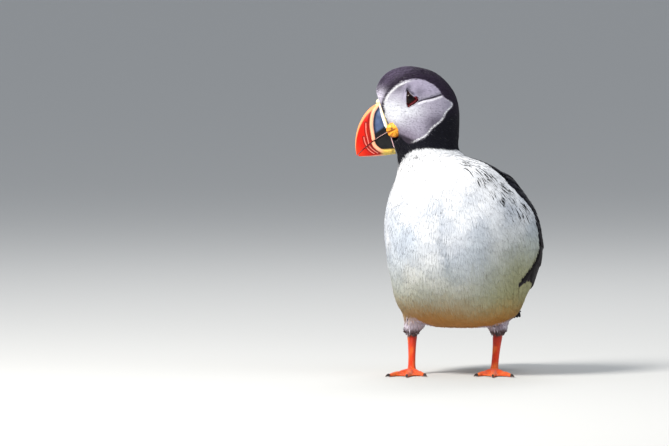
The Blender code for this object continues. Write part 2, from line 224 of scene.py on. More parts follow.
@dataclass(frozen=True)
class HeadFrame:
    """The head's own axes: ahead along the bill, out to its left, and rise, from between the eyes."""

    origin: Vector
    ahead: Vector
    left: Vector

    @classmethod
    def from_eyes(cls) -> "HeadFrame":
        """Build the frame from the two eyeballs."""
        one, other = middle("eye_left"), middle("eye_right")
        left = (one - other).normalized()
        return cls((one + other) / 2, left.cross(UP), left)

    def point(self, ahead: float, out: float, rise: float) -> Vector:
        """A point of the head, given in millimetres."""
        return self.origin + (self.ahead * ahead + self.left * out + UP * rise) * MM

    def world(self, places: np.ndarray) -> np.ndarray:
        """Turn rows of ahead, out and rise in millimetres into world points."""
        axes = np.array([self.ahead, self.left, UP])
        return np.array(self.origin) + places @ axes * MM

    def places(self, points: np.ndarray) -> np.ndarray:
        """Turn world points into ahead, out and rise in millimetres.

        Args:
            points: array of world points, one a row.

        Returns:
            An array of the same shape.
        """
        axes = np.array([self.ahead, self.left, UP])
        return (points - np.array(self.origin)) @ axes.T / MM


class Girth:
    """The trunk's level sections, read from its node, as angles round its axis."""

    LEAST_POINTS = 30
    LEAST_WIDTH = 0.03

    def __init__(self) -> None:
        """Measure every ring of the trunk's mesh."""
        points = coordinates(frame["nodes"]["trunk"].data)
        level = np.round(points[:, 2] / MM, 1)
        rows = []
        for rise in np.unique(level):
            ring = points[level == rise]
            if len(ring) < self.LEAST_POINTS or np.ptp(ring[:, 0]) < self.LEAST_WIDTH:
                continue
            widest = ring[np.argmax(ring[:, 0]), 1]
            rows.append((rise * MM, (ring[:, 0].min() + ring[:, 0].max()) / 2, widest,
                         widest - ring[:, 1].min(), ring[:, 1].max() - widest, np.ptp(ring[:, 0]) / 2))
        self.rows = np.array(rows)

    def section(self, rise: np.ndarray) -> list:
        """Side, fore, front, back and half width at heights in metres."""
        return [np.interp(rise, self.rows[:, 0], self.rows[:, k]) for k in range(1, 6)]

    def angle(self, points: np.ndarray) -> np.ndarray:
        """Angle round the trunk in degrees: 0 in front, 90 on the left side, negative on the right.

        Args:
            points: world points, one a row.

        Returns:
            One angle for each point.
        """
        side, fore, front, back, half = self.section(points[:, 2])
        y = points[:, 1] - fore
        reach = np.where(y < 0, front, back)
        return np.degrees(np.arctan2((points[:, 0] - side) / half, -y / reach))

    def on_skin(self, tree: BVHTree, angle: float, rise: float) -> tuple:
        """The skin's point and normal at an angle and a height.

        Args:
            tree: the skin.
            angle: degrees round the trunk.
            rise: height in metres.

        Returns:
            The point and the normal there.
        """
        side, fore, front, back, half = self.section(np.array([rise]))
        a = math.radians(angle)
        reach = front[0] if math.cos(a) > 0 else back[0]
        out = Vector((math.sin(a) * half[0], -math.cos(a) * reach, 0.0))
        centre = Vector((side[0], fore[0], rise))
        way = out.normalized()
        hit, normal, _, _ = tree.ray_cast(centre + out + way * 0.03, -way, 0.09)
        if hit is None:
            hit, normal, _, _ = tree.find_nearest(centre + out)
        return hit, normal


# ---- blender helpers -----------------------------------------------------
def deselect() -> None:
    """Leave nothing selected."""
    for item in bpy.context.view_layer.objects.selected[:]:
        item.select_set(False)


def make_active(item: bpy.types.Object) -> None:
    """Select one object alone.

    Args:
        item: the object.
    """
    deselect()
    item.select_set(True)
    bpy.context.view_layer.objects.active = item


def apply_all(item: bpy.types.Object) -> None:
    """Apply an object's modifiers in order.

    Args:
        item: the object.
    """
    make_active(item)
    for step in list(item.modifiers):
        bpy.ops.object.modifier_apply(modifier=step.name)


def join(first: bpy.types.Object, others: Iterable[bpy.types.Object]) -> bpy.types.Object:
    """Join other objects into the first.

    Args:
        first: the object that stays.
        others: the objects that go into it.

    Returns:
        The first object.
    """
    make_active(first)
    for other in others:
        other.select_set(True)
    bpy.ops.object.join()
    return first


def values_of(items: bpy.types.bpy_prop_collection, name: str, width: int = 3) -> np.ndarray:
    """One value of everything in a mesh's collection.

    Args:
        items: its points or map corners.
        name: of the value.
        width: how many numbers make the value.

    Returns:
        One value a row.
    """
    flat = np.empty(len(items) * width)
    items.foreach_get(name, flat)
    return flat.reshape(-1, width)


def coordinates(mesh: bpy.types.Mesh) -> np.ndarray:
    """The mesh's points, one a row."""
    return values_of(mesh.vertices, "co")


def normals(mesh: bpy.types.Mesh) -> np.ndarray:
    """The mesh's point normals, one a row."""
    return values_of(mesh.vertices, "normal")


def set_coordinates(mesh: bpy.types.Mesh, points: np.ndarray) -> None:
    """Move the mesh's points."""
    mesh.vertices.foreach_set("co", points.ravel())
    mesh.update()


def paint(mesh: bpy.types.Mesh, colours: np.ndarray) -> None:
    """Store one linear colour a point as the attribute Tint.

    Args:
        mesh: the mesh to colour.
        colours: red, green and blue, one point a row.
    """
    layer = mesh.color_attributes.new("Tint", "FLOAT_COLOR", "POINT")
    full = np.ones((len(colours), 4))
    full[:, :3] = np.clip(colours, 0.0, 1.0)
    layer.data.foreach_set("color", full.ravel())


def smooth_faces(mesh: bpy.types.Mesh) -> None:
    """Shade every face smooth."""
    mesh.polygons.foreach_set("use_smooth", np.ones(len(mesh.polygons), dtype=bool))


def shown(name: str, data: bpy.types.ID) -> bpy.types.Object:
    """A new object in the scene.

    Args:
        name: of the object.
        data: its mesh, light or camera.

    Returns:
        The object.
    """
    made = bpy.data.objects.new(name, data)
    bpy.context.scene.collection.objects.link(made)
    return made


def copy_of(node: str, name: str) -> bpy.types.Object:
    """A merged copy of a CAD node with its own mesh.

    Args:
        node: name of the CAD node.
        name: of the copy.

    Returns:
        The copy, without a material.
    """
    made = shown(name, frame["nodes"][node].data.copy())
    shape = bmesh.new()
    shape.from_mesh(made.data)
    bmesh.ops.remove_doubles(shape, verts=shape.verts, dist=MERGE)
    shape.to_mesh(made.data)
    shape.free()
    made.data.materials.clear()
    return made


def fresh(name: str, add: Callable, **sizes: float) -> bpy.types.Object:
    """Add a primitive, selected alone.

    Args:
        name: of the object and its mesh.
        add: the operator that adds it.
        sizes: what the operator is told.

    Returns:
        The object.
    """
    deselect()
    add(**sizes)
    made = bpy.context.object
    made.name = made.data.name = name
    return made


def ball(name: str, segments: int, rings: int) -> bpy.types.Object:
    """A unit sphere primitive, its poles along Z."""
    return fresh(name, bpy.ops.mesh.primitive_uv_sphere_add, segments=segments, ring_count=rings, radius=1.0)


def ring(name: str, segments: int, sides: int) -> bpy.types.Object:
    """A ring primitive of radius 1 and thickness 0.5 round Z."""
    return fresh(name, bpy.ops.mesh.primitive_torus_add, major_segments=segments, minor_segments=sides,
                 major_radius=1.0, minor_radius=0.5)


def globe_places(made: bpy.types.Object) -> tuple:
    """How far each point of a unit sphere lies from the first pole, 0 to 1, and its turn in radians."""
    points = coordinates(made.data)
    return np.arccos(np.clip(points[:, 2], -1, 1)) / math.pi, np.arctan2(points[:, 1], points[:, 0])


def ring_places(made: bpy.types.Object) -> tuple:
    """How far round its section each point of a ring lies, and its turn.

    Args:
        made: the unit ring.

    Returns:
        Parts of the way round from the inner edge, and turns in radians.
    """
    points = coordinates(made.data)
    section = np.arctan2(points[:, 2], 1 - np.hypot(points[:, 0], points[:, 1]))
    return section / (2 * math.pi) % 1, np.arctan2(points[:, 1], points[:, 0])


def outward_faces(made: bpy.types.Object) -> None:
    """Turn every face of a closed mesh outwards.

    Args:
        made: the object with the mesh.
    """
    shape = bmesh.new()
    shape.from_mesh(made.data)
    bmesh.ops.recalc_face_normals(shape, faces=shape.faces)
    shape.to_mesh(made.data)
    shape.free()
    smooth_faces(made.data)


def hand_over(piece: bpy.types.Object, material: bpy.types.Material,
              nodes: Iterable[str] = ()) -> None:
    """Dress a finished piece, give it to the body, hide the CAD nodes that it replaces and log its faces.

    Args:
        piece: the finished object.
        material: its finish.
        nodes: CAD nodes that it replaces.
    """
    piece.data.materials.clear()
    piece.data.materials.append(material)
    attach(piece, BODY)
    if nodes:
        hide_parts(*nodes)
    LOG.info("%s: %d faces", piece.name, len(piece.data.polygons))


HEAD = HeadFrame.from_eyes()
GIRTH = Girth()
FLOOR = CAD_BOX[0].z
TRUNK_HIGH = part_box("trunk")[1]
TRUNK_MIDDLE = middle("trunk")
LEG_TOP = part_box("leg_left")[1].z
HEAD_FLOOR = HEAD.origin.z - 33 * MM
EYE_SIDE = 8.0


# ---- finishes ------------------------------------------------------------
class Recipe:
    """A material in the making: its nodes and the Principled shader that they feed."""

    def __init__(self, name: str, sockets: dict) -> None:
        """Start a material.

        Args:
            name: of the material.
            sockets: the constants of its shader, by the socket's name.
        """
        self.material = bpy.data.materials.new(name)
        self.material.use_nodes = True
        self.tree = self.material.node_tree
        self.shader = self.tree.nodes["Principled BSDF"]
        self.feed(self.shader, sockets)

    def feed(self, node: bpy.types.Node, inputs: dict) -> None:
        """Set a node's inputs, or link them.

        Args:
            node: the node.
            inputs: a constant or another node's output for each input, by name or number.
        """
        for name, value in inputs.items():
            if isinstance(value, bpy.types.NodeSocket):
                self.tree.links.new(value, node.inputs[name])
            else:
                node.inputs[name].default_value = value

    def add(self, kind: str, output: str, inputs: dict, **settings: str) -> bpy.types.NodeSocket:
        """Add a node.

        Args:
            kind: its type, without the words ShaderNode.
            output: the output that is wanted.
            inputs: what its inputs are fed.
            settings: its other properties.

        Returns:
            The output.
        """
        node = self.tree.nodes.new("ShaderNode" + kind)
        for name, value in settings.items():
            setattr(node, name, value)
        self.feed(node, inputs)
        return node.outputs[output]

    def tinted(self, value: bpy.types.NodeSocket, depth: float) -> None:
        """Colour the shader from the Tint attribute, made lighter and darker by a value.

        Args:
            value: runs from 0 to 1.
            depth: how much lighter or darker.
        """
        tint = self.add("Attribute", "Color", {}, attribute_name="Tint")
        span = self.add("MapRange", "Result", {"From Min": 0.25, "From Max": 0.75, "To Min": 1.0 - depth,
                                               "To Max": 1.0 + depth, "Value": value})
        shaded = self.add("VectorMath", "Vector", {"Vector": tint, "Scale": span}, operation="SCALE")
        self.feed(self.shader, {"Base Color": shaded})

    def relief(self, height: bpy.types.NodeSocket, strength: float, depth: float) -> None:
        """Bump the surface by a height.

        Args:
            height: runs from 0 to 1.
            strength: of the bump.
            depth: of the relief, in metres.
        """
        normal = self.add("Bump", "Normal", {"Strength": strength, "Distance": depth, "Height": height})
        self.feed(self.shader, {"Normal": normal})


@dataclass(frozen=True)
class Finish:
    """A painted surface: the Tint attribute, mottled, with its own gloss and grain."""

    name: str
    roughness: float
    sheen: float = 0.0
    coat: float = 0.0
    subsurface: float = 0.0
    grain_scale: float = 900.0
    grain_depth: float = 0.0
    mottle: float = 0.08
    cells: float = 0.0
    specular: float = 0.3

    def build(self) -> bpy.types.Material:
        """Make the node material."""
        sockets = {"Roughness": self.roughness, "Specular IOR Level": self.specular,
                   "Sheen Weight": self.sheen, "Sheen Roughness": 0.5,
                   "Coat Weight": self.coat, "Coat Roughness": 0.15}
        if self.subsurface:
            sockets.update({"Subsurface Weight": self.subsurface, "Subsurface Radius": (1.0, 0.5, 0.3),
                            "Subsurface Scale": 0.0015})
        recipe = Recipe(self.name, sockets)
        place = recipe.add("TexCoord", "Object", {})
        height = recipe.add("TexNoise", "Fac", {"Scale": self.grain_scale, "Detail": 3.0, "Vector": place})
        recipe.tinted(height, self.mottle)
        if self.grain_depth:
            if self.cells:
                plates = recipe.add("TexVoronoi", "Distance", {"Scale": self.cells, "Vector": place},
                                    feature="DISTANCE_TO_EDGE")
                height = recipe.add("MapRange", "Result", {"From Max": 0.16, "Value": plates})
            recipe.relief(height, 0.6, self.grain_depth)
        return recipe.material


@dataclass(frozen=True)
class FeatherFinish:
    """Feather vanes: slanting barbs either side of the shaft, in colour and in relief."""

    name: str
    roughness: float
    barb_depth: float
    barb_scale: float = 3.0
    slant: float = 0.8
    sheen: float = 0.0
    specular: float = 0.06
    strength: float = 0.4

    def build(self) -> bpy.types.Material:
        """Make the node material."""
        recipe = Recipe(self.name, {"Roughness": self.roughness, "Specular IOR Level": self.specular,
                                    "Sheen Weight": self.sheen, "Sheen Roughness": 0.45})
        spread = recipe.add("UVMap", "UV", {}, uv_map="Barbs")
        across = recipe.add("SeparateXYZ", "X", {"Vector": spread})
        along = across.node.outputs["Y"]
        out = recipe.add("Math", "Value", {0: across}, operation="ABSOLUTE")
        lean = recipe.add("Math", "Value", {0: out, 1: -self.slant, 2: along}, operation="MULTIPLY_ADD")
        line = recipe.add("CombineXYZ", "Vector", {"X": lean})
        barbs = recipe.add("TexNoise", "Fac", {"Scale": self.barb_scale, "Detail": 2.0, "Vector": line})
        recipe.tinted(barbs, self.barb_depth)
        recipe.relief(barbs, self.strength, 0.12 * MM)
        return recipe.material


# ---- the eye's opening ---------------------------------------------------
class EyeOpening:
    """Three-cornered opening between the lids, in the plane of the head's side."""

    CENTRE = (1.6, 1.8)
    CORNERS = ((3.8, 1.0), (3.8, 3.0), (3.7, 5.2), (3.2, 6.9), (2.1, 5.3), (0.7, 3.6), (-0.9, 2.4),
               (-2.2, 1.3), (-0.9, -0.1), (1.2, -1.5), (2.9, -2.8), (3.7, -0.9))
    RED_WAY = 234.0

    def __init__(self) -> None:
        """Turn the corners into a reach for every direction from the opening's centre."""
        line = Trace((*self.CORNERS, self.CORNERS[0])).line - np.array(self.CENTRE)
        angle = np.degrees(np.arctan2(line[:, 1], line[:, 0])) % 360
        order = np.argsort(angle)
        self.angles, self.reaches = angle[order], np.hypot(*line.T)[order]

    def reach(self, degrees: np.ndarray) -> np.ndarray:
        """Distance from the centre to the lid's edge in each direction."""
        return np.interp(degrees % 360, self.angles, self.reaches, period=360)

    @staticmethod
    def low_rear(degrees: np.ndarray) -> np.ndarray:
        """1 where the wide red rim lies, below and behind the opening, 0 in front and above."""
        return smooth(0.0, 0.75, np.cos(np.radians(degrees - EyeOpening.RED_WAY)))

    def outside(self, place: np.ndarray, grow: float = 1.0) -> tuple:
        """How far points lie outside the opening.

        Args:
            place: ahead, out and rise, one a row.
            grow: factor on the opening's size.

        Returns:
            Distances in millimetres, negative inside, and directions in degrees.
        """
        ahead, rise = place[:, 0] - self.CENTRE[0], place[:, 2] - self.CENTRE[1]
        angle = np.degrees(np.arctan2(rise, ahead))
        return np.hypot(ahead, rise) - self.reach(angle) * grow, angle


# ---- markings ------------------------------------------------------------
WHITE = (0.83, 0.84, 0.87)
# Bluish grey over the breast below its lit top: painted shade.
COOL_SHADE = (0.62, 0.67, 0.74)
# Bluish grey patches between clumps of breast feathers: painted shade.
CLUMP_SHADE = (0.36, 0.41, 0.50)
# Grey along the crease down the middle of the breast: painted shade of the crease.
KEEL_SHADE = (0.25, 0.30, 0.38)
# Olive tan on the bird's left side, away from the key light: painted shade.
FLANK_SHADE = (0.26, 0.27, 0.15)
# Dull tan on the lower belly, rising on the left side: painted shade.
BELLY_SHADE = (0.31, 0.295, 0.135)
# Rusty orange at the bottom of the belly.
LOW_ORANGE = (0.36, 0.135, 0.008)
THIGH = (0.60, 0.56, 0.66)
THIGH_SHADE = (0.14, 0.09, 0.12)
ANKLE = (0.09, 0.055, 0.05)
BLACK = (0.006, 0.006, 0.011)
CAP = (0.020, 0.013, 0.028)
# Purple grey on the cap's front and top: painted highlight.
CAP_HIGHLIGHT = (0.115, 0.090, 0.150)
# Pale lilac spot on the forehead: painted highlight.
FOREHEAD_HIGHLIGHT = (0.60, 0.56, 0.68)
# Whiter face in front of and below the eye: painted light.
FACE_SUNLIT = (0.64, 0.65, 0.70)
FACE_GREY = (0.33, 0.305, 0.385)
# Greyer upper face behind the eye: painted shade.
FACE_UPPER_SHADE = (0.30, 0.27, 0.37)
# Dark upper front corner of the face: painted shade.
FACE_BROW_SHADE = (0.10, 0.09, 0.12)
# Darker lower rear of the face: painted shade.
FACE_HIND_SHADE = (0.07, 0.06, 0.09)
# Dark grey above and behind the eye: painted shade.
TEMPLE_SHADE = (0.12, 0.11, 0.15)
# Grey towards the face's lower front corner: painted shade.
JAW_SHADE = (0.17, 0.14, 0.19)
FACE_SHADE = (0.030, 0.024, 0.034)
FACE_RIM = (0.92, 0.92, 0.95)
PALE_LINE = (0.85, 0.85, 0.90)
DARK_LINE = (0.015, 0.010, 0.018)
# Near black skin in the eye's hollow, darkened further as painted shade.
SOCKET_SKIN_AND_SHADE = (0.010, 0.005, 0.007)
LEG = (0.80, 0.046, 0.001)
LEG_DARK = (0.36, 0.008, 0.003)
SOLE = (0.72, 0.16, 0.02)
LEG_LIGHT = (0.95, 0.25, 0.03)
CREASE = ((-4.2, -0.6), (-7.0, 0.4), (-10.3, 1.2), (-14.0, 2.1), (-19.4, 3.8))


def face_edge(place: np.ndarray) -> np.ndarray:
    """Signed distance in millimetres outside the pale face patch, seen from the side of the head.

    Args:
        place: ahead, out and rise, one a row.

    Returns:
        Negative numbers inside the patch.
    """
    across, above = place[:, 0] + 2.0, place[:, 2] + 6.0
    angle = np.degrees(np.arctan2(above, across)) % 360
    reach = (20.5 + 1.1 * bump(angle - 18, 30) + 4.9 * bump(angle - 172, 16) - 3.2 * bump(angle - 226, 34)
             + 3.0 * bump(angle - 281, 20))
    return np.hypot(across, above) - reach


def crease(place: np.ndarray) -> np.ndarray:
    """Distance in millimetres from the furrow that runs back from the eye."""
    return Trace(CREASE).distance(place[:, (0, 2)])


def collar_edge(points: np.ndarray) -> np.ndarray:
    """Height of the black collar's lower edge round the neck: low under the bill, high at the side.

    Args:
        points: world points, one a row.

    Returns:
        One height in metres for each point.
    """
    flat = points[:, :2] - np.array(HEAD.point(-10.8, 0, 0))[:2]
    toward = np.arctan2(flat @ np.array(HEAD.left)[:2], flat @ np.array(HEAD.ahead)[:2])
    below = np.interp(np.degrees(np.abs(toward)), (0, 30, 46, 63, 90, 130, 180),
                      (46.6, 40.6, 36.9, 33.4, 32.4, 33.6, 35.1))
    return HEAD.origin.z - below * MM


def wing_front(rise: np.ndarray, right: np.ndarray) -> np.ndarray:
    """Angle from the breast at which the folded wing begins.

    Args:
        rise: heights in millimetres.
        right: whether each is on the bird's right side, which is turned further back.

    Returns:
        Degrees round the body.
    """
    front = np.interp(rise, (58, 62, 66, 72, 79, 84, 98, 104, 110, 118, 128, 138, 146, 156),
                      (73, 75, 79, 83, 88, 90, 91, 93, 95, 93, 89, 86, 84, 82))
    return np.where(right, np.maximum(front, 97), front)


def wing_low(angle: np.ndarray) -> np.ndarray:
    """Height in millimetres of the folded wing's lower edge at an angle from the breast."""
    return np.interp(angle, (72, 76, 84, 92, 102, 126, 152, 166, 180),
                     (60.5, 60.5, 63.5, 65.5, 64, 56, 51, 47, 46))


def black_back(points: np.ndarray) -> np.ndarray:
    """Signed distance in millimetres into the black of the wings, back and tail.

    Args:
        points: world points, one a row.

    Returns:
        Positive numbers inside the black.
    """
    angle, rise = GIRTH.angle(points), points[:, 2] / MM
    front = wing_front(rise, angle < 0)
    return np.minimum((np.abs(angle) - front) * 0.85, rise - wing_low(np.abs(angle)))


def shoulder(points: np.ndarray) -> np.ndarray:
    """1 where the white coat of the left shoulder is ruffled and streaked with painted shadow, 0 elsewhere.

    Args:
        points: world points, one a row.

    Returns:
        One number for each point.
    """
    angle, rise = GIRTH.angle(points), points[:, 2] / MM
    middle_angle = np.interp(rise, (104, 115, 125, 135, 145, 152), (88, 77, 69, 60, 51, 44))
    patch = 1 - smooth(11, 19, np.abs(angle - middle_angle))
    patch = patch * smooth(110, 119, rise) * (1 - smooth(148, 152, rise))
    clumps = smooth(0.42, 0.62, wave(points, 5 * MM, 9.0))
    return patch * (0.25 + 0.75 * clumps)


def underparts(points: np.ndarray) -> np.ndarray:
    """Colour of the breast and belly, down to the thighs, with painted shade.

    Args:
        points: world points, one a row.

    Returns:
        One linear colour a row.
    """
    z = points[:, 2]
    patchy = wave(points, 9 * MM, 4.0)
    # Patches of painted shade over the breast below its top.
    mottled = smooth(0.35, 0.75, wave(points, 4.2 * MM, 6.0)) * (1 - smooth(0.118, 0.142, z))
    angle = GIRTH.angle(points)
    # The breast's middle crease, for its painted shade.
    keel = bump(angle - 4 - 3 * np.sin(z / (9 * MM)), 5.5)
    keel = keel * smooth(0.064, 0.085, z) * (1 - smooth(0.108, 0.132, z))
    # The bird's left side, away from the key light, for painted shade.
    side = smooth(12, 72, angle)
    # Lower belly, higher on the left side, for painted shade.
    low = 1 - smooth(0.040, 0.098, z + 5 * MM * (patchy - 0.5) - 6 * MM * side)
    lowest = 1 - smooth(0.036, 0.064, z + 6 * MM * (patchy - 0.5))
    leg = np.minimum.reduce([np.hypot(points[:, 0] - spot.x, points[:, 1] - spot.y)
                             for spot in (middle("leg_left"), middle("leg_right"))])
    thigh = (1 - smooth(LEG_TOP + 10 * MM, LEG_TOP + 17 * MM, z)) * (1 - smooth(0.011, 0.017, leg))
    return layered(
        plain(WHITE, len(points)),
        # Bluish grey below the lit upper breast: painted shade.
        (COOL_SHADE, (0.35 + 0.65 * smooth(0.35, 0.7, patchy)) * (1 - smooth(0.100, 0.138, z))),
        (CLUMP_SHADE, 0.38 * mottled),
        (KEEL_SHADE, 0.70 * keel * (0.5 + 0.5 * patchy)),
        (FLANK_SHADE, 0.82 * side * (1 - smooth(0.074, 0.122, z))),
        (BELLY_SHADE, 0.88 * low),
        (LOW_ORANGE, 0.80 * lowest),
        (THIGH, 0.90 * thigh),
        (THIGH_SHADE, 0.65 * thigh * smooth(0.45, 0.7, wave(points, 2.4 * MM, 8.0))),
        (ANKLE, 0.92 * (1 - smooth(LEG_TOP + 0.5 * MM, LEG_TOP + 5 * MM, z))))


def face_tint(place: np.ndarray, edge: np.ndarray) -> np.ndarray:
    """Colour of the pale face, with painted light and shade, its rim and the furrow behind the eye.

    Args:
        place: ahead, out and rise, one a row.
        edge: how far each point lies outside the face patch, in millimetres.

    Returns:
        One linear colour a row.
    """
    ahead, rise = place[:, 0], place[:, 2]
    # Where the face is painted lighter, as if lit: painted light.
    light = np.exp(-((ahead - 14) ** 2 / 130 + (rise + 8) ** 2 / 75))
    light = np.maximum(light, 0.75 * np.exp(-((ahead - 3) ** 2 / 90 + (rise + 6.5) ** 2 / 34)))
    # Upper face behind the eye, for painted shade.
    above = smooth(-1.5, 3.5, rise + 0.25 * ahead) * (1 - smooth(3, 9, ahead))
    hind_shade = smooth(-4, -15, ahead) * smooth(-6, -15, rise)
    # Painted shade above and behind the eye, and over the opening's upper corner.
    temple_shade = np.exp(-((ahead + 4.8) ** 2 + (rise - 5.4) ** 2) / 14)
    temple_shade = temple_shade + 1.5 * np.exp(-(ahead - 2.2) ** 2 / 2.2 - (rise - 9.2) ** 2 / 5)
    corner = -22.1 + 0.444 * (ahead - 8.25) - rise
    rim = bump(edge + 0.65, 0.6) * (1 - smooth(-4, 2, ahead)) * (1 - smooth(-5, 3, rise))
    brow = bump(edge + 1.0, 0.9) * smooth(-2, 6, ahead) * smooth(-8, -2, rise)
    pale = bump(crease(place + np.array((0, 0, 1.5))), 1.0) * (ahead < -2)
    fold = bump(crease(place), 0.75 + 0.3 * smooth(-6, -12, ahead)) * (ahead < -3)
    return layered(
        plain(FACE_GREY, len(place)),
        (FACE_SUNLIT, np.clip(1.2 * light, 0, 1)),
        (FACE_UPPER_SHADE, 0.65 * above),
        # Dark upper front corner of the face: painted shade.
        (FACE_BROW_SHADE, 0.82 * smooth(3, 9, rise) * smooth(3, 9, ahead)),
        (FACE_HIND_SHADE, 0.80 * hind_shade),
        (TEMPLE_SHADE, 0.65 * temple_shade),
        # Grey towards the lower front corner: painted shade.
        (JAW_SHADE, 0.8 * smooth(-8.0, 0.0, corner) * smooth(-11, 1, ahead)),
        (FACE_SHADE, 0.95 * smooth(-0.8, 1.4, corner)),
        (FACE_RIM, np.clip(rim + 0.8 * brow, 0, 1)),
        (PALE_LINE, 0.6 * pale),
        (DARK_LINE, 0.95 * fold))


def markings(points: np.ndarray, wings: bool = True) -> np.ndarray:
    """Colour of the coat and of the skin under it at each point.

    Args:
        points: world points, one a row.
        wings: whether the black of wings and back is drawn.

    Returns:
        One linear colour a row.
    """
    place = HEAD.places(points)
    ahead, z = place[:, 0], points[:, 2]
    uneven = wave(points, 1.6 * MM, 1.0)
    tint = underparts(points)
    if wings:
        tint = mix(tint, BLACK, smooth(-0.6, 0.6, black_back(points) + 1.0 * (uneven - 0.5)))
    neck = smooth(-0.3 * MM, 0.3 * MM, z - collar_edge(points) + 0.6 * MM * (uneven - 0.5))
    cap = smooth(-16, 2, place[:, 2]) * neck
    edge = face_edge(place) + 0.25 * (uneven - 0.5)
    # Patchy painted highlight on the cap's front and top.
    upper = smooth(1.5, 7.0, edge) * smooth(-6, 8, ahead) * (0.45 + 0.55 * wave(points, 5 * MM, 7.0))
    # Where the forehead's painted highlight lies.
    front = np.exp(-((ahead - 21.6) / 4.4) ** 2 - ((place[:, 2] - 2.6) / 5.0) ** 2) * neck
    tint = layered(
        tint,
        (BLACK, smooth(TRUNK_HIGH.y - 5 * MM, TRUNK_HIGH.y - 2 * MM, points[:, 1])),
        (BLACK, neck),
        (CAP, cap),
        (CAP_HIGHLIGHT, 0.80 * cap * upper),
        (FOREHEAD_HIGHLIGHT, np.clip(1.15 * front, 0, 1) * smooth(0.6, 2.0, edge)))
    inside = (1 - smooth(-0.25, 0.25, edge)) * smooth(2.0, 4.5, np.abs(place[:, 1]))
    inside = inside * (z > HEAD.origin.z - 40 * MM)
    return blended(tint, face_tint(place, edge), inside)


def leg_colour(points: np.ndarray) -> np.ndarray:
    """Orange of the bare legs and feet, redder and darker towards the top.

    Args:
        points: world points, one a row.

    Returns:
        One linear colour a row.
    """
    z = points[:, 2]
    return layered(
        plain(LEG, len(points)),
        (LEG_DARK, 0.85 * smooth(0.015, LEG_TOP, z)),
        (SOLE, 0.45 * (1 - smooth(0.0015, 0.006, z))),
        (LEG_LIGHT, 0.5 * smooth(0.5, 0.9, wave(points, 2 * MM, 2.0))))


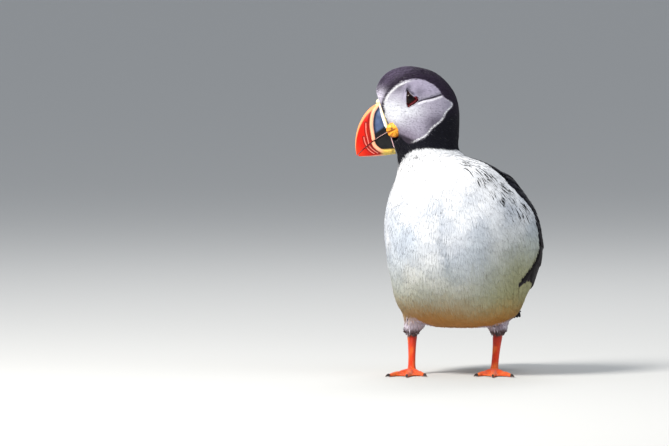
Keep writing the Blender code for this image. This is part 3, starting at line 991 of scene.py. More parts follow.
# ---- skin ----------------------------------------------------------------
@dataclass
class Skin:
    """One unbroken skin under the coat, bare on the legs and feet."""

    voxel: float = 0.6 * MM
    swell: float = 0.3 * MM
    body_depth: float = 1.0 * MM
    head_depth: float = 0.8 * MM
    tail_depth: float = 0.3 * MM
    thigh_depth: float = 1.1 * MM
    eye_depth: float = 3.4 * MM
    socket_out: float = 14.1
    socket_radius: float = 5.2 * MM
    facets_kept: float = 0.22
    piece: bpy.types.Object = field(init=False)
    tree: BVHTree = field(init=False)

    def build(self) -> "Skin":
        """Join the nodes of flesh, close their seams, draw them in and paint them."""
        piece = self.joined()
        remesh = piece.modifiers.new("one_skin", "REMESH")
        remesh.mode = "VOXEL"
        remesh.voxel_size = self.voxel
        soften = piece.modifiers.new("soften", "SMOOTH")
        soften.factor, soften.iterations = 0.5, 6
        apply_all(piece)
        self.settle(piece)
        self.draw_in(piece)
        self.thin_out(piece)
        smooth_faces(piece.data)
        points = coordinates(piece.data)
        place = HEAD.places(points)
        colours = blended(markings(points), leg_colour(points), self.bare(points))
        # Skin in the eye's hollow: dark skin and painted shade.
        socket = (EyeOpening().outside(place, 1.15)[0] < 0) & (np.abs(place[:, 1]) > EYE_SIDE)
        colours[socket] = SOCKET_SKIN_AND_SHADE
        paint(piece.data, colours)
        self.piece = piece
        self.tree = BVHTree.FromObject(piece, bpy.context.evaluated_depsgraph_get())
        finish = Finish("skin", 0.45, sheen=0.1, coat=0.15, grain_scale=700, grain_depth=0.3 * MM,
                        mottle=0.14, cells=1000)
        hand_over(piece, finish.build(), FLESH)
        return self

    def joined(self) -> bpy.types.Object:
        """Copies of the nodes of flesh and a ball for each eye's socket, as one object."""
        copies = []
        for node in FLESH:
            made = copy_of(node, "flesh_" + node)
            points = coordinates(made.data)
            set_coordinates(made.data, points + normals(made.data) * self.swell)
            copies.append(made)
        for side in Side:
            made = ball("flesh_socket", 32, 16)
            centre = np.array(HEAD.point(0, self.socket_out * side.value, 0))
            set_coordinates(made.data, coordinates(made.data) * self.socket_radius + centre)
            copies.append(made)
        piece = join(copies[0], copies[1:])
        piece.name = piece.data.name = "skin"
        return piece

    @staticmethod
    def bare(points: np.ndarray) -> np.ndarray:
        """1 on the legs and feet, 0 where feathers grow."""
        return 1 - smooth(LEG_TOP - 0.5 * MM, LEG_TOP + 0.5 * MM, points[:, 2])

    @staticmethod
    def settle(piece: bpy.types.Object) -> None:
        """Even out the furrows between trunk and folded wings, which the coat bridges.

        Args:
            piece: the skin.
        """
        points = coordinates(piece.data)
        low = points[:, 2] > LEG_TOP + 10 * MM
        inside = low & (points[:, 2] < collar_edge(points) - 3 * MM) & (points[:, 1] < TRUNK_HIGH.y + 1 * MM)
        group = piece.vertex_groups.new(name="trunk")
        group.add(np.nonzero(inside)[0].tolist(), 1.0, "REPLACE")
        step = piece.modifiers.new("settle", "SMOOTH")
        step.factor, step.iterations, step.vertex_group = 0.5, 400, group.name
        apply_all(piece)

    def draw_in(self, piece: bpy.types.Object) -> None:
        """Move the skin in by the coat's depth where feathers grow, and hollow it for the eyes.

        Args:
            piece: the skin.
        """
        points, outward = coordinates(piece.data), normals(piece.data)
        place = HEAD.places(points)
        head = smooth(-44, -32, place[:, 2])
        depth = self.body_depth * (1 - head) + self.head_depth * head
        rise = points[:, 2] / MM
        parting = bump(GIRTH.angle(points) - 2 - 3 * np.sin(rise / 9), 7)
        parting = parting * smooth(70, 92, rise) * smooth(128, 112, rise)
        depth = depth + 1.3 * MM * parting + 1.0 * MM * (wave(points, 6.5 * MM, 3.0) - 0.5) * (1 - head)
        depth = depth + 1.0 * MM * bump(crease(place), 1.7) * head * (place[:, 0] < -2)
        tail = smooth(TRUNK_HIGH.y - 6 * MM, TRUNK_HIGH.y, points[:, 1])
        depth = depth * (1 - tail) + self.tail_depth * tail
        thigh = 1 - smooth(LEG_TOP, LEG_TOP + 14 * MM, points[:, 2])
        depth = depth * (1 - thigh) + self.thigh_depth * thigh
        bare = self.bare(points)
        depth = depth * (1 - bare) + self.swell * bare
        away, angle = EyeOpening().outside(place)
        hollow = 1 - smooth(0.0, 0.8, away - 1.4 * EyeOpening.low_rear(angle))
        hollow = hollow * (np.abs(place[:, 1]) > EYE_SIDE)
        depth = depth + self.eye_depth * hollow
        set_coordinates(piece.data, points - outward * depth[:, None])

    def thin_out(self, piece: bpy.types.Object) -> None:
        """Fewer facets under the feathers, all of them kept on the legs, feet and round the eyes.

        Args:
            piece: the skin.
        """
        group = piece.vertex_groups.new(name="covered")
        points = coordinates(piece.data)
        place = HEAD.places(points)
        near_eye = np.hypot(place[:, 0], place[:, 2]) < 8
        covered = np.nonzero((points[:, 2] > LEG_TOP) & ~near_eye)[0]
        group.add(covered.tolist(), 1.0, "REPLACE")
        step = piece.modifiers.new("thin_out", "DECIMATE")
        step.ratio = self.facets_kept
        step.vertex_group = group.name
        apply_all(piece)


# ---- coat ----------------------------------------------------------------
PATCH = 0.003
GROUND_FACETS = 14000


@dataclass(frozen=True)
class Plume:
    """A kind of small feather: its size, how it is split and how it stands."""

    length: float
    width: float
    strands: int
    steps: int
    lift: float
    splay: float = 0.25
    yaw: float = 0.15
    vary: float = 0.25
    root_shade: float = 0.7
    jitter: float = 0.06
    thick: float = 0.12
    blunt: float = 3.2
    own: float = 0.0
    turn: float = 0.45

    def profile(self) -> np.ndarray:
        """Relative width along the feather, from root to tip."""
        part = np.linspace(0, 1, self.steps + 1)
        return np.clip(0.6 + 1.6 * part, 0, 1) * np.sqrt(np.clip(1 - part ** self.blunt, 0, 1)) + 0.03


def across_of(lines: np.ndarray, ups: np.ndarray) -> np.ndarray:
    """Unit vectors across feathers, in the plane of the skin.

    Args:
        lines: middle lines, one a row of points.
        ups: the skin's normals along them.

    Returns:
        An array of the same shape.
    """
    sides = np.cross(np.gradient(lines, axis=1), ups)
    return sides / (np.linalg.norm(sides, axis=2)[:, :, None] + TINY)


class VaneSheet:
    """Gathers thin closed vanes as arrays and makes them one mesh."""

    def __init__(self, name: str) -> None:
        """Start an empty sheet.

        Args:
            name: of the piece.
        """
        self.name, self.count = name, 0
        self.points, self.quads, self.caps = [], [], []
        self.tints, self.maps, self.barbs, self.leans = [], [], [], []

    def add(self, lines: np.ndarray, ups: np.ndarray, sides: np.ndarray, half: np.ndarray, ridge: np.ndarray,
            tints: np.ndarray, spots: np.ndarray, length: float, turn: float = 0.45) -> None:
        """Add many vanes of one kind, each with a flat back and a raised shaft.

        Args:
            lines: middle lines, one a row of points.
            ups: the skin's normals along them.
            sides: unit vectors across them.
            half: half widths along them.
            ridge: heights of the shaft along them.
            tints: colours along them.
            spots: places of the roots on the unwrap.
            length: of a vane, in metres.
            turn: how far the shading turns away towards the vane's edges.
        """
        number, rows = lines.shape[:2]
        grid = np.stack((lines - sides * half[..., None], lines + ups * ridge[..., None],
                         lines + sides * half[..., None]), axis=2)
        start = self.count + np.arange(number)[:, None, None] * rows * 3
        row, column = np.arange(rows - 1)[:, None] * 3, np.arange(3)[None, :]
        after = (np.arange(3)[None, :] + 1) % 3
        quads = np.stack((row + column, row + after, row + 3 + after, row + 3 + column), axis=-1)
        last = (rows - 1) * 3
        caps = np.array(((0, 2, 1), (last, last + 1, last + 2)))
        lean = np.stack((ups - turn * sides, ups, ups + turn * sides), axis=2).reshape(-1, 3)
        self.leans.append(lean / np.linalg.norm(lean, axis=1)[:, None])
        self.points.append(grid.reshape(-1, 3))
        self.quads.append((quads.reshape(1, -1, 4) + start).reshape(-1, 4))
        self.caps.append((caps[None] + start).reshape(-1, 3))
        self.tints.append(np.repeat(tints[:, :, None, :], 3, axis=2).reshape(-1, 3))
        u = np.broadcast_to(np.array((-0.5, 0.0, 0.5))[None, None, :], (number, rows, 3))
        v = np.broadcast_to(np.linspace(-0.5, 0.5, rows)[None, :, None], (number, rows, 3))
        flat = np.stack((u, v), axis=-1)
        self.maps.append((flat * PATCH + spots[:, None, None, :]).reshape(-1, 2))
        wide = np.stack((u * 2 * half.max(axis=1)[:, None, None], (v + 0.5) * length), axis=-1) / MM
        self.barbs.append(wide.reshape(-1, 2))
        self.count += number * rows * 3

    def build(self, material: bpy.types.Material, slot: str) -> bpy.types.Object:
        """Make the mesh, its colours and its maps, and hand it over.

        Args:
            material: the vanes' finish.
            slot: not used.

        Returns:
            The finished piece.
        """
        points = np.concatenate(self.points)
        quads, caps = np.concatenate(self.quads), np.concatenate(self.caps)
        mesh = bpy.data.meshes.new(self.name)
        mesh.vertices.add(len(points))
        mesh.vertices.foreach_set("co", points.ravel())
        corners = np.concatenate((quads.ravel(), caps.ravel()))
        mesh.loops.add(len(corners))
        mesh.loops.foreach_set("vertex_index", corners)
        mesh.polygons.add(len(quads) + len(caps))
        starts = np.concatenate((np.arange(0, quads.size, 4), quads.size + np.arange(0, caps.size, 3)))
        mesh.polygons.foreach_set("loop_start", starts)
        mesh.update(calc_edges=True)
        smooth_faces(mesh)
        mesh.normals_split_custom_set_from_vertices(np.concatenate(self.leans))
        paint(mesh, np.concatenate(self.tints))
        for name, values in (("OFBake", self.maps), ("Barbs", self.barbs)):
            layer = mesh.uv_layers.new(name=name)
            layer.uv.foreach_set("vector", np.concatenate(values)[corners].ravel())
        mesh.uv_layers["OFBake"].active = True
        piece = shown(self.name, mesh)
        hand_over(piece, material)
        return piece


@dataclass
class Ground:
    """The feathered skin as a field to grow feathers on: triangles, their unwrap and the lie of the coat."""

    skin: Skin
    corners: np.ndarray = field(init=False)
    maps: np.ndarray = field(init=False)
    share: np.ndarray = field(init=False)
    flat_tree: BVHTree = field(init=False)

    TRIES = 3.4

    def prepare(self) -> "Ground":
        """Unwrap a coarse copy of the skin and measure its triangles."""
        piece = shown("ground", self.skin.piece.data.copy())
        shape = bmesh.new()
        shape.from_mesh(piece.data)
        low = [vert for vert in shape.verts if vert.co.z < LEG_TOP - 1 * MM]
        bmesh.ops.delete(shape, geom=low, context="VERTS")
        shape.to_mesh(piece.data)
        shape.free()
        step = piece.modifiers.new("coarse", "DECIMATE")
        step.ratio = min(1.0, GROUND_FACETS / len(piece.data.polygons))
        apply_all(piece)
        bpy.ops.object.mode_set(mode="EDIT")
        bpy.ops.mesh.select_all(action="SELECT")
        bpy.ops.mesh.quads_convert_to_tris()
        bpy.ops.uv.smart_project(angle_limit=math.radians(66), island_margin=0.004)
        bpy.ops.object.mode_set(mode="OBJECT")
        mesh = piece.data
        index = np.empty(len(mesh.polygons) * 3, dtype=np.int64)
        mesh.loops.foreach_get("vertex_index", index)
        self.corners = coordinates(mesh)[index].reshape(-1, 3, 3)
        self.maps = values_of(mesh.uv_layers.active.uv, "vector", 2).reshape(-1, 3, 2)
        cross = np.cross(self.corners[:, 1] - self.corners[:, 0], self.corners[:, 2] - self.corners[:, 0])
        self.share = np.linalg.norm(cross, axis=1) / 2
        self.flat_tree = BVHTree.FromObject(piece, bpy.context.evaluated_depsgraph_get())
        bpy.data.objects.remove(piece, do_unlink=True)
        return self

    def spot(self, point: Vector) -> np.ndarray:
        """Place on the unwrap of the skin nearest to a point."""
        face = self.flat_tree.find_nearest(point)[2]
        return self.maps[face].mean(axis=0)

    def scatter(self, spacing: float, keep: Callable[[np.ndarray], np.ndarray], seed: int) -> tuple:
        """Roots spread evenly over the part of the skin that is kept.

        Args:
            spacing: least distance between two roots.
            keep: says which of an array of points are wanted.
            seed: of the random draws.

        Returns:
            The roots and their places on the unwrap.
        """
        draw = np.random.default_rng(seed)
        near = sum(keep(self.corners[:, k]).astype(float) for k in range(3))
        area = self.share * (near + keep(self.corners.mean(axis=1)) > 0)
        count = int(self.TRIES * area.sum() / spacing ** 2)
        faces = draw.choice(len(area), size=count, p=area / area.sum())
        a, b = draw.random(count), draw.random(count)
        flip = a + b > 1
        a[flip], b[flip] = 1 - a[flip], 1 - b[flip]
        weights = np.stack((1 - a - b, a, b), axis=1)
        points = (self.corners[faces] * weights[:, :, None]).sum(axis=1)
        maps = (self.maps[faces] * weights[:, :, None]).sum(axis=1)
        wanted = keep(points)
        points, maps = points[wanted], maps[wanted]
        kept = self.thin(points, spacing)
        return points[kept], maps[kept]

    @staticmethod
    def thin(points: np.ndarray, spacing: float) -> np.ndarray:
        """Indices of points that stand at least the spacing apart.

        Args:
            points: candidates, one a row.
            spacing: least distance between two of them.

        Returns:
            The numbers of the points that are kept.
        """
        cells, kept = {}, []
        keys = np.floor(points / spacing).astype(int).tolist()
        near = [(i, j, k) for i in (-1, 0, 1) for j in (-1, 0, 1) for k in (-1, 0, 1)]
        limit = spacing * spacing
        for number, ((i, j, k), (x, y, z)) in enumerate(zip(keys, points.tolist())):
            if any((x - ox) ** 2 + (y - oy) ** 2 + (z - oz) ** 2 < limit
                   for di, dj, dk in near for ox, oy, oz in cells.get((i + di, j + dj, k + dk), ())):
                continue
            cells.setdefault((i, j, k), []).append((x, y, z))
            kept.append(number)
        return np.array(kept)

    @staticmethod
    def lie(points: np.ndarray) -> np.ndarray:
        """Direction that the coat lies in before it is laid on the skin.

        Args:
            points: roots, one a row.

        Returns:
            One unit vector a row.
        """
        place = HEAD.places(points)
        head = smooth(-40, -26, place[:, 2])[:, None]
        body = np.tile(np.array((0.0, 0.38, -0.92)), (len(points), 1))
        body[:, 0] += 0.16 * np.sin(np.radians(GIRTH.angle(points)))
        back = -np.array(HEAD.ahead)[None, :]
        down = (0.12 + 0.75 * (1 - smooth(-30, -8, place[:, 2])))[:, None] * np.array((0, 0, -1.0))
        way = body * (1 - head) + (back + down) * head
        return way / np.linalg.norm(way, axis=1)[:, None]

    def walk(self, roots: np.ndarray, ways: np.ndarray, lengths: np.ndarray, steps: int) -> tuple:
        """Walk over the skin from every root.

        Args:
            roots: starts, one a row.
            ways: directions to set off in.
            lengths: length of each walk.
            steps: number of strides.

        Returns:
            Points and skin normals on the way, one more than the strides for each root.
        """
        find = self.skin.tree.find_nearest
        lines = np.empty((len(roots), steps + 1, 3))
        ups = np.empty_like(lines)
        for number in range(len(roots)):
            spot, normal, _, _ = find(Vector(roots[number]))
            way = Vector(ways[number])
            stride = lengths[number] / steps
            lines[number, 0], ups[number, 0] = spot, normal
            for step in range(1, steps + 1):
                way = (way - normal * way.dot(normal)).normalized()
                spot, normal, _, _ = find(spot + way * stride)
                lines[number, step], ups[number, step] = spot, normal
        return lines, ups


class Region:
    """Points of the skin, and which part of the bird each of them lies on."""

    THIGH_HIGH = LEG_TOP + 6 * MM
    THIGH_LOW = LEG_TOP + 1.2 * MM
    WAIST = 0.092
    BILL_BASE = (16.1, -21.6, 0.331)

    def __init__(self, points: np.ndarray) -> None:
        """Measure the points.

        Args:
            points: world points, one a row.
        """
        place, z = HEAD.places(points), points[:, 2]
        angle, collar = GIRTH.angle(points), collar_edge(points) - 2 * MM
        opening = EyeOpening()
        away, way = opening.outside(place)
        front = smooth(-0.3, 0.6, np.cos(np.radians(way + 10)))
        ahead, rise, tilt = self.BILL_BASE
        clear = (away > 1.3 + 1.0 * front + 1.3 * opening.low_rear(way))
        clear = clear & (place[:, 0] - ahead - tilt * (place[:, 2] - rise) < -1.0)
        low, dark = z <= HEAD_FLOOR, black_back(points) > 0
        trunk = low & (z <= collar) & (z > self.THIGH_HIGH) & (points[:, 1] < TRUNK_HIGH.y + 1 * MM)
        quills = np.interp(np.abs(angle), (88, 160), (97, 87)) * MM
        rump = (np.abs(angle) > 160) | ((np.abs(angle) > 146) & (z < 0.066))
        self.left, self.facing, self.high = angle >= 0, place[:, 1] > 0, z > self.WAIST
        self.head = ~low & clear
        self.face = self.head & (face_edge(place) < 0) & (np.abs(place[:, 1]) > 3)
        self.collar = low & (z > collar) & clear
        self.white = trunk & ~dark
        self.back = trunk & dark & ((z > quills) | rump | ((angle < 0) & (angle > -113)))
        self.thighs = (z <= self.THIGH_HIGH) & (z > self.THIGH_LOW)


@dataclass
class Coat:
    """All small feathers of the bird, grown region by region."""

    ground: Ground
    material: bpy.types.Material

    STRAND_SHARE = 0.62
    ROOT_GAP = 0.1 * MM
    STRAND_GAP = 0.04 * MM
    EDGE_SHORTER = 0.14
    STRAY = 0.35
    # Share of ruffled feathers drawn dark, and the factor on their colour: painted shadow streaks of stems.
    SHADOW_STREAKED = 0.5
    STREAK = 0.05

    def grow(self, name: str, plume: Plume, spacing: float, region: Callable[[Region], np.ndarray],
             slot: str, seed: int) -> None:
        """Grow one region's feathers as one piece.

        Args:
            name: of the piece.
            plume: kind of feather.
            spacing: distance between roots.
            region: which of the measured points belong to it.
            slot: the record's material slot.
            seed: of the random draws.
        """
        roots, maps = self.ground.scatter(spacing, lambda points: region(Region(points)), seed)
        draw = np.random.default_rng(seed + 50)
        number = len(roots)
        ruffled = shoulder(roots)
        ways = self.ground.lie(roots)
        outward = (roots - np.array(TRUNK_MIDDLE)) * np.array((1, 1, 0))
        turn = draw.normal(0, 1, number) * plume.yaw * (1 + 3.0 * ruffled)
        across = np.cross(ways, outward / np.linalg.norm(outward, axis=1)[:, None])
        ways = ways + across * turn[:, None]
        size = 1 + plume.vary * draw.uniform(-1, 1, number)
        if plume.own:
            self.shorten(size, roots, ways, plume)
        lines, ups = self.ground.walk(roots, ways, plume.length * size, plume.steps)
        sides = across_of(lines, ups)
        parts = np.linspace(0, 1, plume.steps + 1)
        rise = plume.lift * (1 + self.STRAY * draw.uniform(-1, 1, number))
        rise = rise * (1 + 1.0 * ruffled * draw.random(number))
        shade = 1 + plume.jitter * draw.normal(0, 1, number)
        tints = self.tints(lines, roots, plume)
        tone = (plume.root_shade + (1 - plume.root_shade) * parts)[None, :, None]
        tints = tints * tone * shade[:, None, None]
        half = plume.width * size / 2
        profile = plume.profile()
        sheet = VaneSheet(name)
        offsets = np.linspace(-1, 1, plume.strands) if plume.strands > 1 else np.zeros(1)
        each = 1.0 / max(plume.strands * self.STRAND_SHARE, 1.0)
        height = self.ROOT_GAP + rise[:, None] * parts[None, :]
        for k, offset in enumerate(offsets):
            drift = offset + self.STRAY * draw.normal(0, 1, number) * (plume.strands > 1)
            spread = drift[:, None] * half[:, None] * (0.6 + plume.splay * parts[None, :])
            centre = lines + sides * spread[..., None] + ups * (height + self.STRAND_GAP * k)[..., None]
            reach = 1 - self.EDGE_SHORTER * np.abs(drift)[:, None, None]
            centre = centre[:, :1] + (centre - centre[:, :1]) * reach
            wide = half[:, None] * profile[None, :] * each
            thick = np.minimum(wide * 0.5, plume.thick * MM) + 0.01 * MM
            strand = tints * (1 + plume.jitter * draw.normal(0, 1, number))[:, None, None]
            # Dark strands on the ruffled shoulder: painted shadow streaks.
            strand[draw.random(number) < self.SHADOW_STREAKED * ruffled, 1:] *= self.STREAK
            sheet.add(centre, ups, sides, wide, thick, strand, maps, plume.length, plume.turn)
        sheet.build(self.material, slot)

    @staticmethod
    def shorten(size: np.ndarray, roots: np.ndarray, ways: np.ndarray, plume: Plume) -> None:
        """Shorten the feathers that would cross the border of the black.

        Args:
            size: factors on their length, changed in place.
            roots: where they start, one a row.
            ways: directions that they set off in.
            plume: kind of feather.
        """
        inside = black_back(roots) > 0
        for reach, limit in ((1.0, 0.75), (0.75, 0.5), (0.5, 0.3)):
            crossing = (black_back(roots + ways * (plume.length * reach)) > 0) != inside
            size[crossing] = np.minimum(size[crossing], limit)

    @staticmethod
    def tints(lines: np.ndarray, roots: np.ndarray, plume: Plume) -> np.ndarray:
        """Colours along the feathers, of the place they cover or of the place they grow from.

        Args:
            lines: their middle lines, one a row of points.
            roots: where they start.
            plume: kind of feather.

        Returns:
            One linear colour for each point of the lines.
        """
        placed = markings(lines.reshape(-1, 3)).reshape(lines.shape)
        if not plume.own:
            return placed
        rooted = markings(roots, wings=False)
        rooted = np.where((black_back(roots) > 0)[:, None], np.array(BLACK), rooted)
        return placed * (1 - plume.own) + rooted[:, None] * plume.own


def grow_coat(skin: Skin) -> Ground:
    """Grow every patch of small feathers.

    Args:
        skin: the finished skin.

    Returns:
        The ground, for the larger feathers.
    """
    ground = Ground(skin).prepare()
    pale = FeatherFinish("feather", 0.8, 0.04, sheen=0.02, specular=0.05, strength=0.12)
    coat = Coat(ground, pale.build())
    silk = Plume(8.6 * MM, 3.6 * MM, 6, 3, 0.45 * MM, splay=0.45, yaw=0.07, vary=0.3, root_shade=0.96,
                 jitter=0.03, thick=0.06, blunt=1.8, own=1.0, turn=0.2)
    down = Plume(2.0 * MM, 0.80 * MM, 1, 2, 0.16 * MM, yaw=0.07, root_shade=0.94, jitter=0.03, turn=0.25)
    hood = Plume(2.7 * MM, 0.9 * MM, 1, 2, 0.35 * MM, yaw=0.07, jitter=0.08)
    scarf = Plume(4.2 * MM, 1.8 * MM, 3, 3, 0.7 * MM, yaw=0.07, jitter=0.04)
    mantle = Plume(9.5 * MM, 6.4 * MM, 1, 5, 0.9 * MM, yaw=0.07, vary=0.15, blunt=2.6, jitter=0.12, own=1.0)
    fluff = Plume(4.2 * MM, 2.0 * MM, 3, 3, 0.9 * MM, splay=0.6, yaw=0.25)
    coat.grow("coat_face_left", down, 0.60 * MM, lambda r: r.face & r.facing, "grey_feather", 1)
    coat.grow("coat_face_right", down, 0.60 * MM, lambda r: r.face & ~r.facing, "grey_feather", 12)
    coat.grow("coat_breast_left", silk, 1.6 * MM, lambda r: r.white & r.high & r.left, "white_feather", 4)
    coat.grow("coat_breast_right", silk, 1.6 * MM, lambda r: r.white & r.high & ~r.left, "white_feather", 5)
    coat.grow("coat_belly_left", silk, 1.6 * MM, lambda r: r.white & ~r.high & r.left, "white_feather", 6)
    coat.grow("coat_belly_right", silk, 1.6 * MM, lambda r: r.white & ~r.high & ~r.left, "white_feather", 7)
    coat.grow("coat_thighs", fluff, 1.2 * MM, lambda r: r.thighs, "white_feather", 9)
    coat.material = FeatherFinish("dark_feather", 0.6, 0.10, sheen=0.01, specular=0.10).build()
    coat.grow("coat_cap", hood, 0.76 * MM, lambda r: r.head & ~r.face, "black_feather", 2)
    coat.grow("coat_neck", scarf, 1.0 * MM, lambda r: r.collar, "black_feather", 3)
    coat.grow("coat_back", mantle, 2.7 * MM, lambda r: r.back, "black_feather", 8)
    return ground


# ---- wings and tail ------------------------------------------------------
@dataclass(frozen=True)
class QuillRow:
    """A row of large feathers along a folded wing."""

    count: int
    first: tuple
    last: tuple
    length: float
    width: float
    slant: float
    lift: float


@dataclass(frozen=True)
class Quill:
    """A large feather: its size and the outline of its vane."""

    length: float
    width: float
    shaft: float
    opening: float
    blunt: float
    STEPS = 11

    @classmethod
    def parts(cls) -> np.ndarray:
        """Parts of the way along, closer together towards the tip."""
        return np.sin(np.linspace(0, math.pi / 2, cls.STEPS + 1))

    def lay(self, sheet: VaneSheet, ground: Ground, line: list, ups: list, tints: np.ndarray) -> None:
        """Add the feather to a sheet.

        Args:
            sheet: gathers the vanes.
            ground: the feathered skin.
            line: points of its middle line.
            ups: normals at those points.
            tints: colours at those points.
        """
        parts = self.parts()
        line, ups = np.array(line)[None], np.array(ups)[None]
        profile = np.clip(0.5 + self.opening * parts, 0, 1) * np.sqrt(np.clip(1 - parts ** self.blunt, 0, 1))
        half = (self.width / 2 * (profile + 0.02) * MM)[None]
        spot = ground.spot(Vector(line[0, 0]))[None]
        shaft = np.full_like(half, self.shaft * MM)
        sheet.add(line, ups, across_of(line, ups), half, shaft, tints[None], spot, self.length * MM)


@dataclass
class Wings:
    """Flight feathers and coverts of both folded wings."""

    ground: Ground
    material: bpy.types.Material
    margin: float = 5.5
    girth: float = 46.0
    right_turn: float = 26.0
    taper: float = 0.28
    length_vary: float = 0.04
    lean_vary: float = 1.5
    tone_vary: float = 0.24
    overlap: float = 0.07
    colour: tuple = (0.0125, 0.0098, 0.0115)
    rows: tuple = (
        QuillRow(15, (176, 47.5), (101, 59.5), 58.0, 7.6, 46.0, 0.6),
        QuillRow(19, (164, 52.0), (78, 60.8), 40.0, 7.8, 33.0, 0.8),
        QuillRow(18, (162, 63.0), (88, 78.0), 21.0, 7.0, 27.0, 1.0),
        QuillRow(19, (162, 74.0), (93, 90.0), 18.0, 6.6, 24.0, 1.1),
    )

    def build(self) -> None:
        """Lay the rows on each side, the long ones first."""
        for side in Side:
            sheet = VaneSheet("wing_quills_" + side.word)
            draw = np.random.default_rng(70 + side.value)
            for row in self.rows:
                self.lay(sheet, row, side, draw)
            sheet.build(self.material, "black_feather")

    def lay(self, sheet: VaneSheet, row: QuillRow, side: Side, draw: np.random.Generator) -> None:
        """Lay one row of vanes over the wing.

        Args:
            sheet: gathers the vanes.
            row: sizes and places of the row.
            side: of the bird.
            draw: random draws.
        """
        parts = Quill.parts()
        fringe = 1 + 1.6 * smooth(0.90, 0.985, parts)
        last = row.last[0] + (0 if side is Side.LEFT else self.right_turn)
        for number in range(row.count):
            share = number / (row.count - 1)
            angle = row.first[0] + (last - row.first[0]) * share
            low = row.first[1] + (row.last[1] - row.first[1]) * share
            low = max(low, float(wing_low(np.float64(angle))) - 1)
            length = row.length * (1 - self.taper * share) * (1 + self.length_vary * draw.normal())
            lean = math.radians(row.slant + self.lean_vary * draw.normal())
            line, ups = [], []
            for part in parts:
                back = (1 - part) * length
                rise = low + back * math.cos(lean)
                front = float(wing_front(np.float64(rise), np.bool_(side is Side.RIGHT))) + self.margin
                turned = max(angle - math.degrees(back * math.sin(lean) / self.girth), front)
                spot, normal = GIRTH.on_skin(self.ground.skin.tree, side.value * turned, rise * MM)
                near_front = 0.4 + 0.6 * float(smooth(84, 104, np.float64(turned)))
                stand = row.lift * (0.15 + 0.85 * part) * near_front + self.overlap * (number % 3)
                line.append(spot + normal * stand * MM)
                ups.append(normal)
            tone = max(1 + self.tone_vary * draw.normal(), 0.5)
            tints = np.array(self.colour) * tone * fringe[:, None]
            Quill(length, row.width, 0.32, 2.0, 5.0).lay(sheet, self.ground, line, ups, tints)


@dataclass
class Tail:
    """The short fan of tail feathers, above and below."""

    ground: Ground
    material: bpy.types.Material
    count: int = 16
    spread: float = 15.5
    base: float = 12.0
    length: float = 41.0
    drop: float = 38.0
    width: float = 8.0
    straight_from: float = 0.84
    edge_shorter: float = 0.17
    shown_share: float = 0.88
    settle: float = 0.35
    colour: tuple = (0.009, 0.008, 0.011)

    def build(self) -> None:
        """Lay the fan over both faces of the tail."""
        sheet = VaneSheet("tail_quills")
        quill = Quill(self.length, self.width, 0.3, 1.0, 3.4)
        for face in (1, -1):
            for number in range(self.count):
                part = 2 * number / (self.count - 1) - 1
                line, ups = self.course(part, face)
                tint = np.array(self.colour) * (1 + 0.12 * math.sin(number * 2.3))
                quill.lay(sheet, self.ground, line, ups, plain(tint, Quill.STEPS + 1))
        sheet.build(self.material, "black_feather")

    def course(self, part: float, face: int) -> tuple:
        """Middle line of one tail feather.

        Args:
            part: -1 at one edge of the fan, 1 at the other.
            face: 1 on top of the tail, -1 under it.

        Returns:
            Points of the line and normals there.
        """
        low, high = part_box("tail")
        root = Vector(((low.x + high.x) / 2, low.y + 3 * MM, 0.0))
        parts = Quill.parts()
        tree = self.ground.skin.tree
        angle = math.radians(self.spread * part)
        slope = math.cos(math.radians(self.drop))
        reach = self.length * (1 - self.edge_shorter * part * part) * slope * self.shown_share * MM
        way = Vector((math.sin(angle), math.cos(angle), 0.0))
        lift = (0.4 + 0.6 * (1 - abs(part))) * MM * (1 if face > 0 else 0.5)
        line, ups = [], []
        normal = Vector((0, 0, face))
        for number, step in enumerate(parts):
            spot = root + Vector((self.base * part * MM, 0, 0)) + way * reach * step
            start = Vector((spot.x, spot.y, 0.2 if face > 0 else 0.0))
            hit, found, _, _ = tree.ray_cast(start, Vector((0, 0, -face)), 0.2)
            if len(line) < 2 and hit is None:
                hit, found, _, _ = tree.find_nearest(Vector((spot.x, spot.y, middle("tail").z)))
            if hit is None or step > self.straight_from:
                stride = (parts[number] - parts[number - 1]) * reach / slope
                line.append(line[-1] + (line[-1] - line[-2]).normalized() * stride)
            else:
                normal = normal.lerp(found, self.settle).normalized()
                line.append(hit + normal * lift)
            ups.append(normal)
        return line, ups


# ---- bill ----------------------------------------------------------------
def bezier(knots: Sequence[Sequence[float]], part: np.ndarray) -> np.ndarray:
    """Points of a Bezier curve at parts of the way along it.

    Args:
        knots: its control points in a plane.
        part: numbers from 0 to 1.

    Returns:
        One point a row.
    """
    rows = [np.tile(np.array(knot, dtype=float), (len(part), 1)) for knot in knots]
    while len(rows) > 1:
        rows = [a * (1 - part[:, None]) + b * part[:, None] for a, b in zip(rows, rows[1:])]
    return rows[0]


RED = (0.60, 0.008, 0.001)
# Dark red in front of the ridge and beside the grooves: painted shade.
RED_SHADE = (0.16, 0.002, 0.001)
RED_LIGHT = (0.86, 0.050, 0.010)
PEACH = (1.0, 0.47, 0.28)
# Pale line along the grooves of the red tip: painted highlight.
STREAK = (1.0, 0.40, 0.32)
SLATE = (0.045, 0.072, 0.155)
SLATE_LIGHT = (0.120, 0.170, 0.310)
# Near black: the lower bill's base plate, and painted shade on the upper base plate near the gape.
INK_AND_SHADE = (0.006, 0.006, 0.008)
INK_LIGHT = (0.020, 0.022, 0.020)
YELLOW = (0.78, 0.52, 0.10)
HEEL = (0.60, 0.46, 0.12)
# Pale edge along the upper bill's culmen: painted highlight.
CULMEN_HIGHLIGHT = (1.0, 0.40, 0.16)
KNOB = (0.95, 0.80, 0.42)


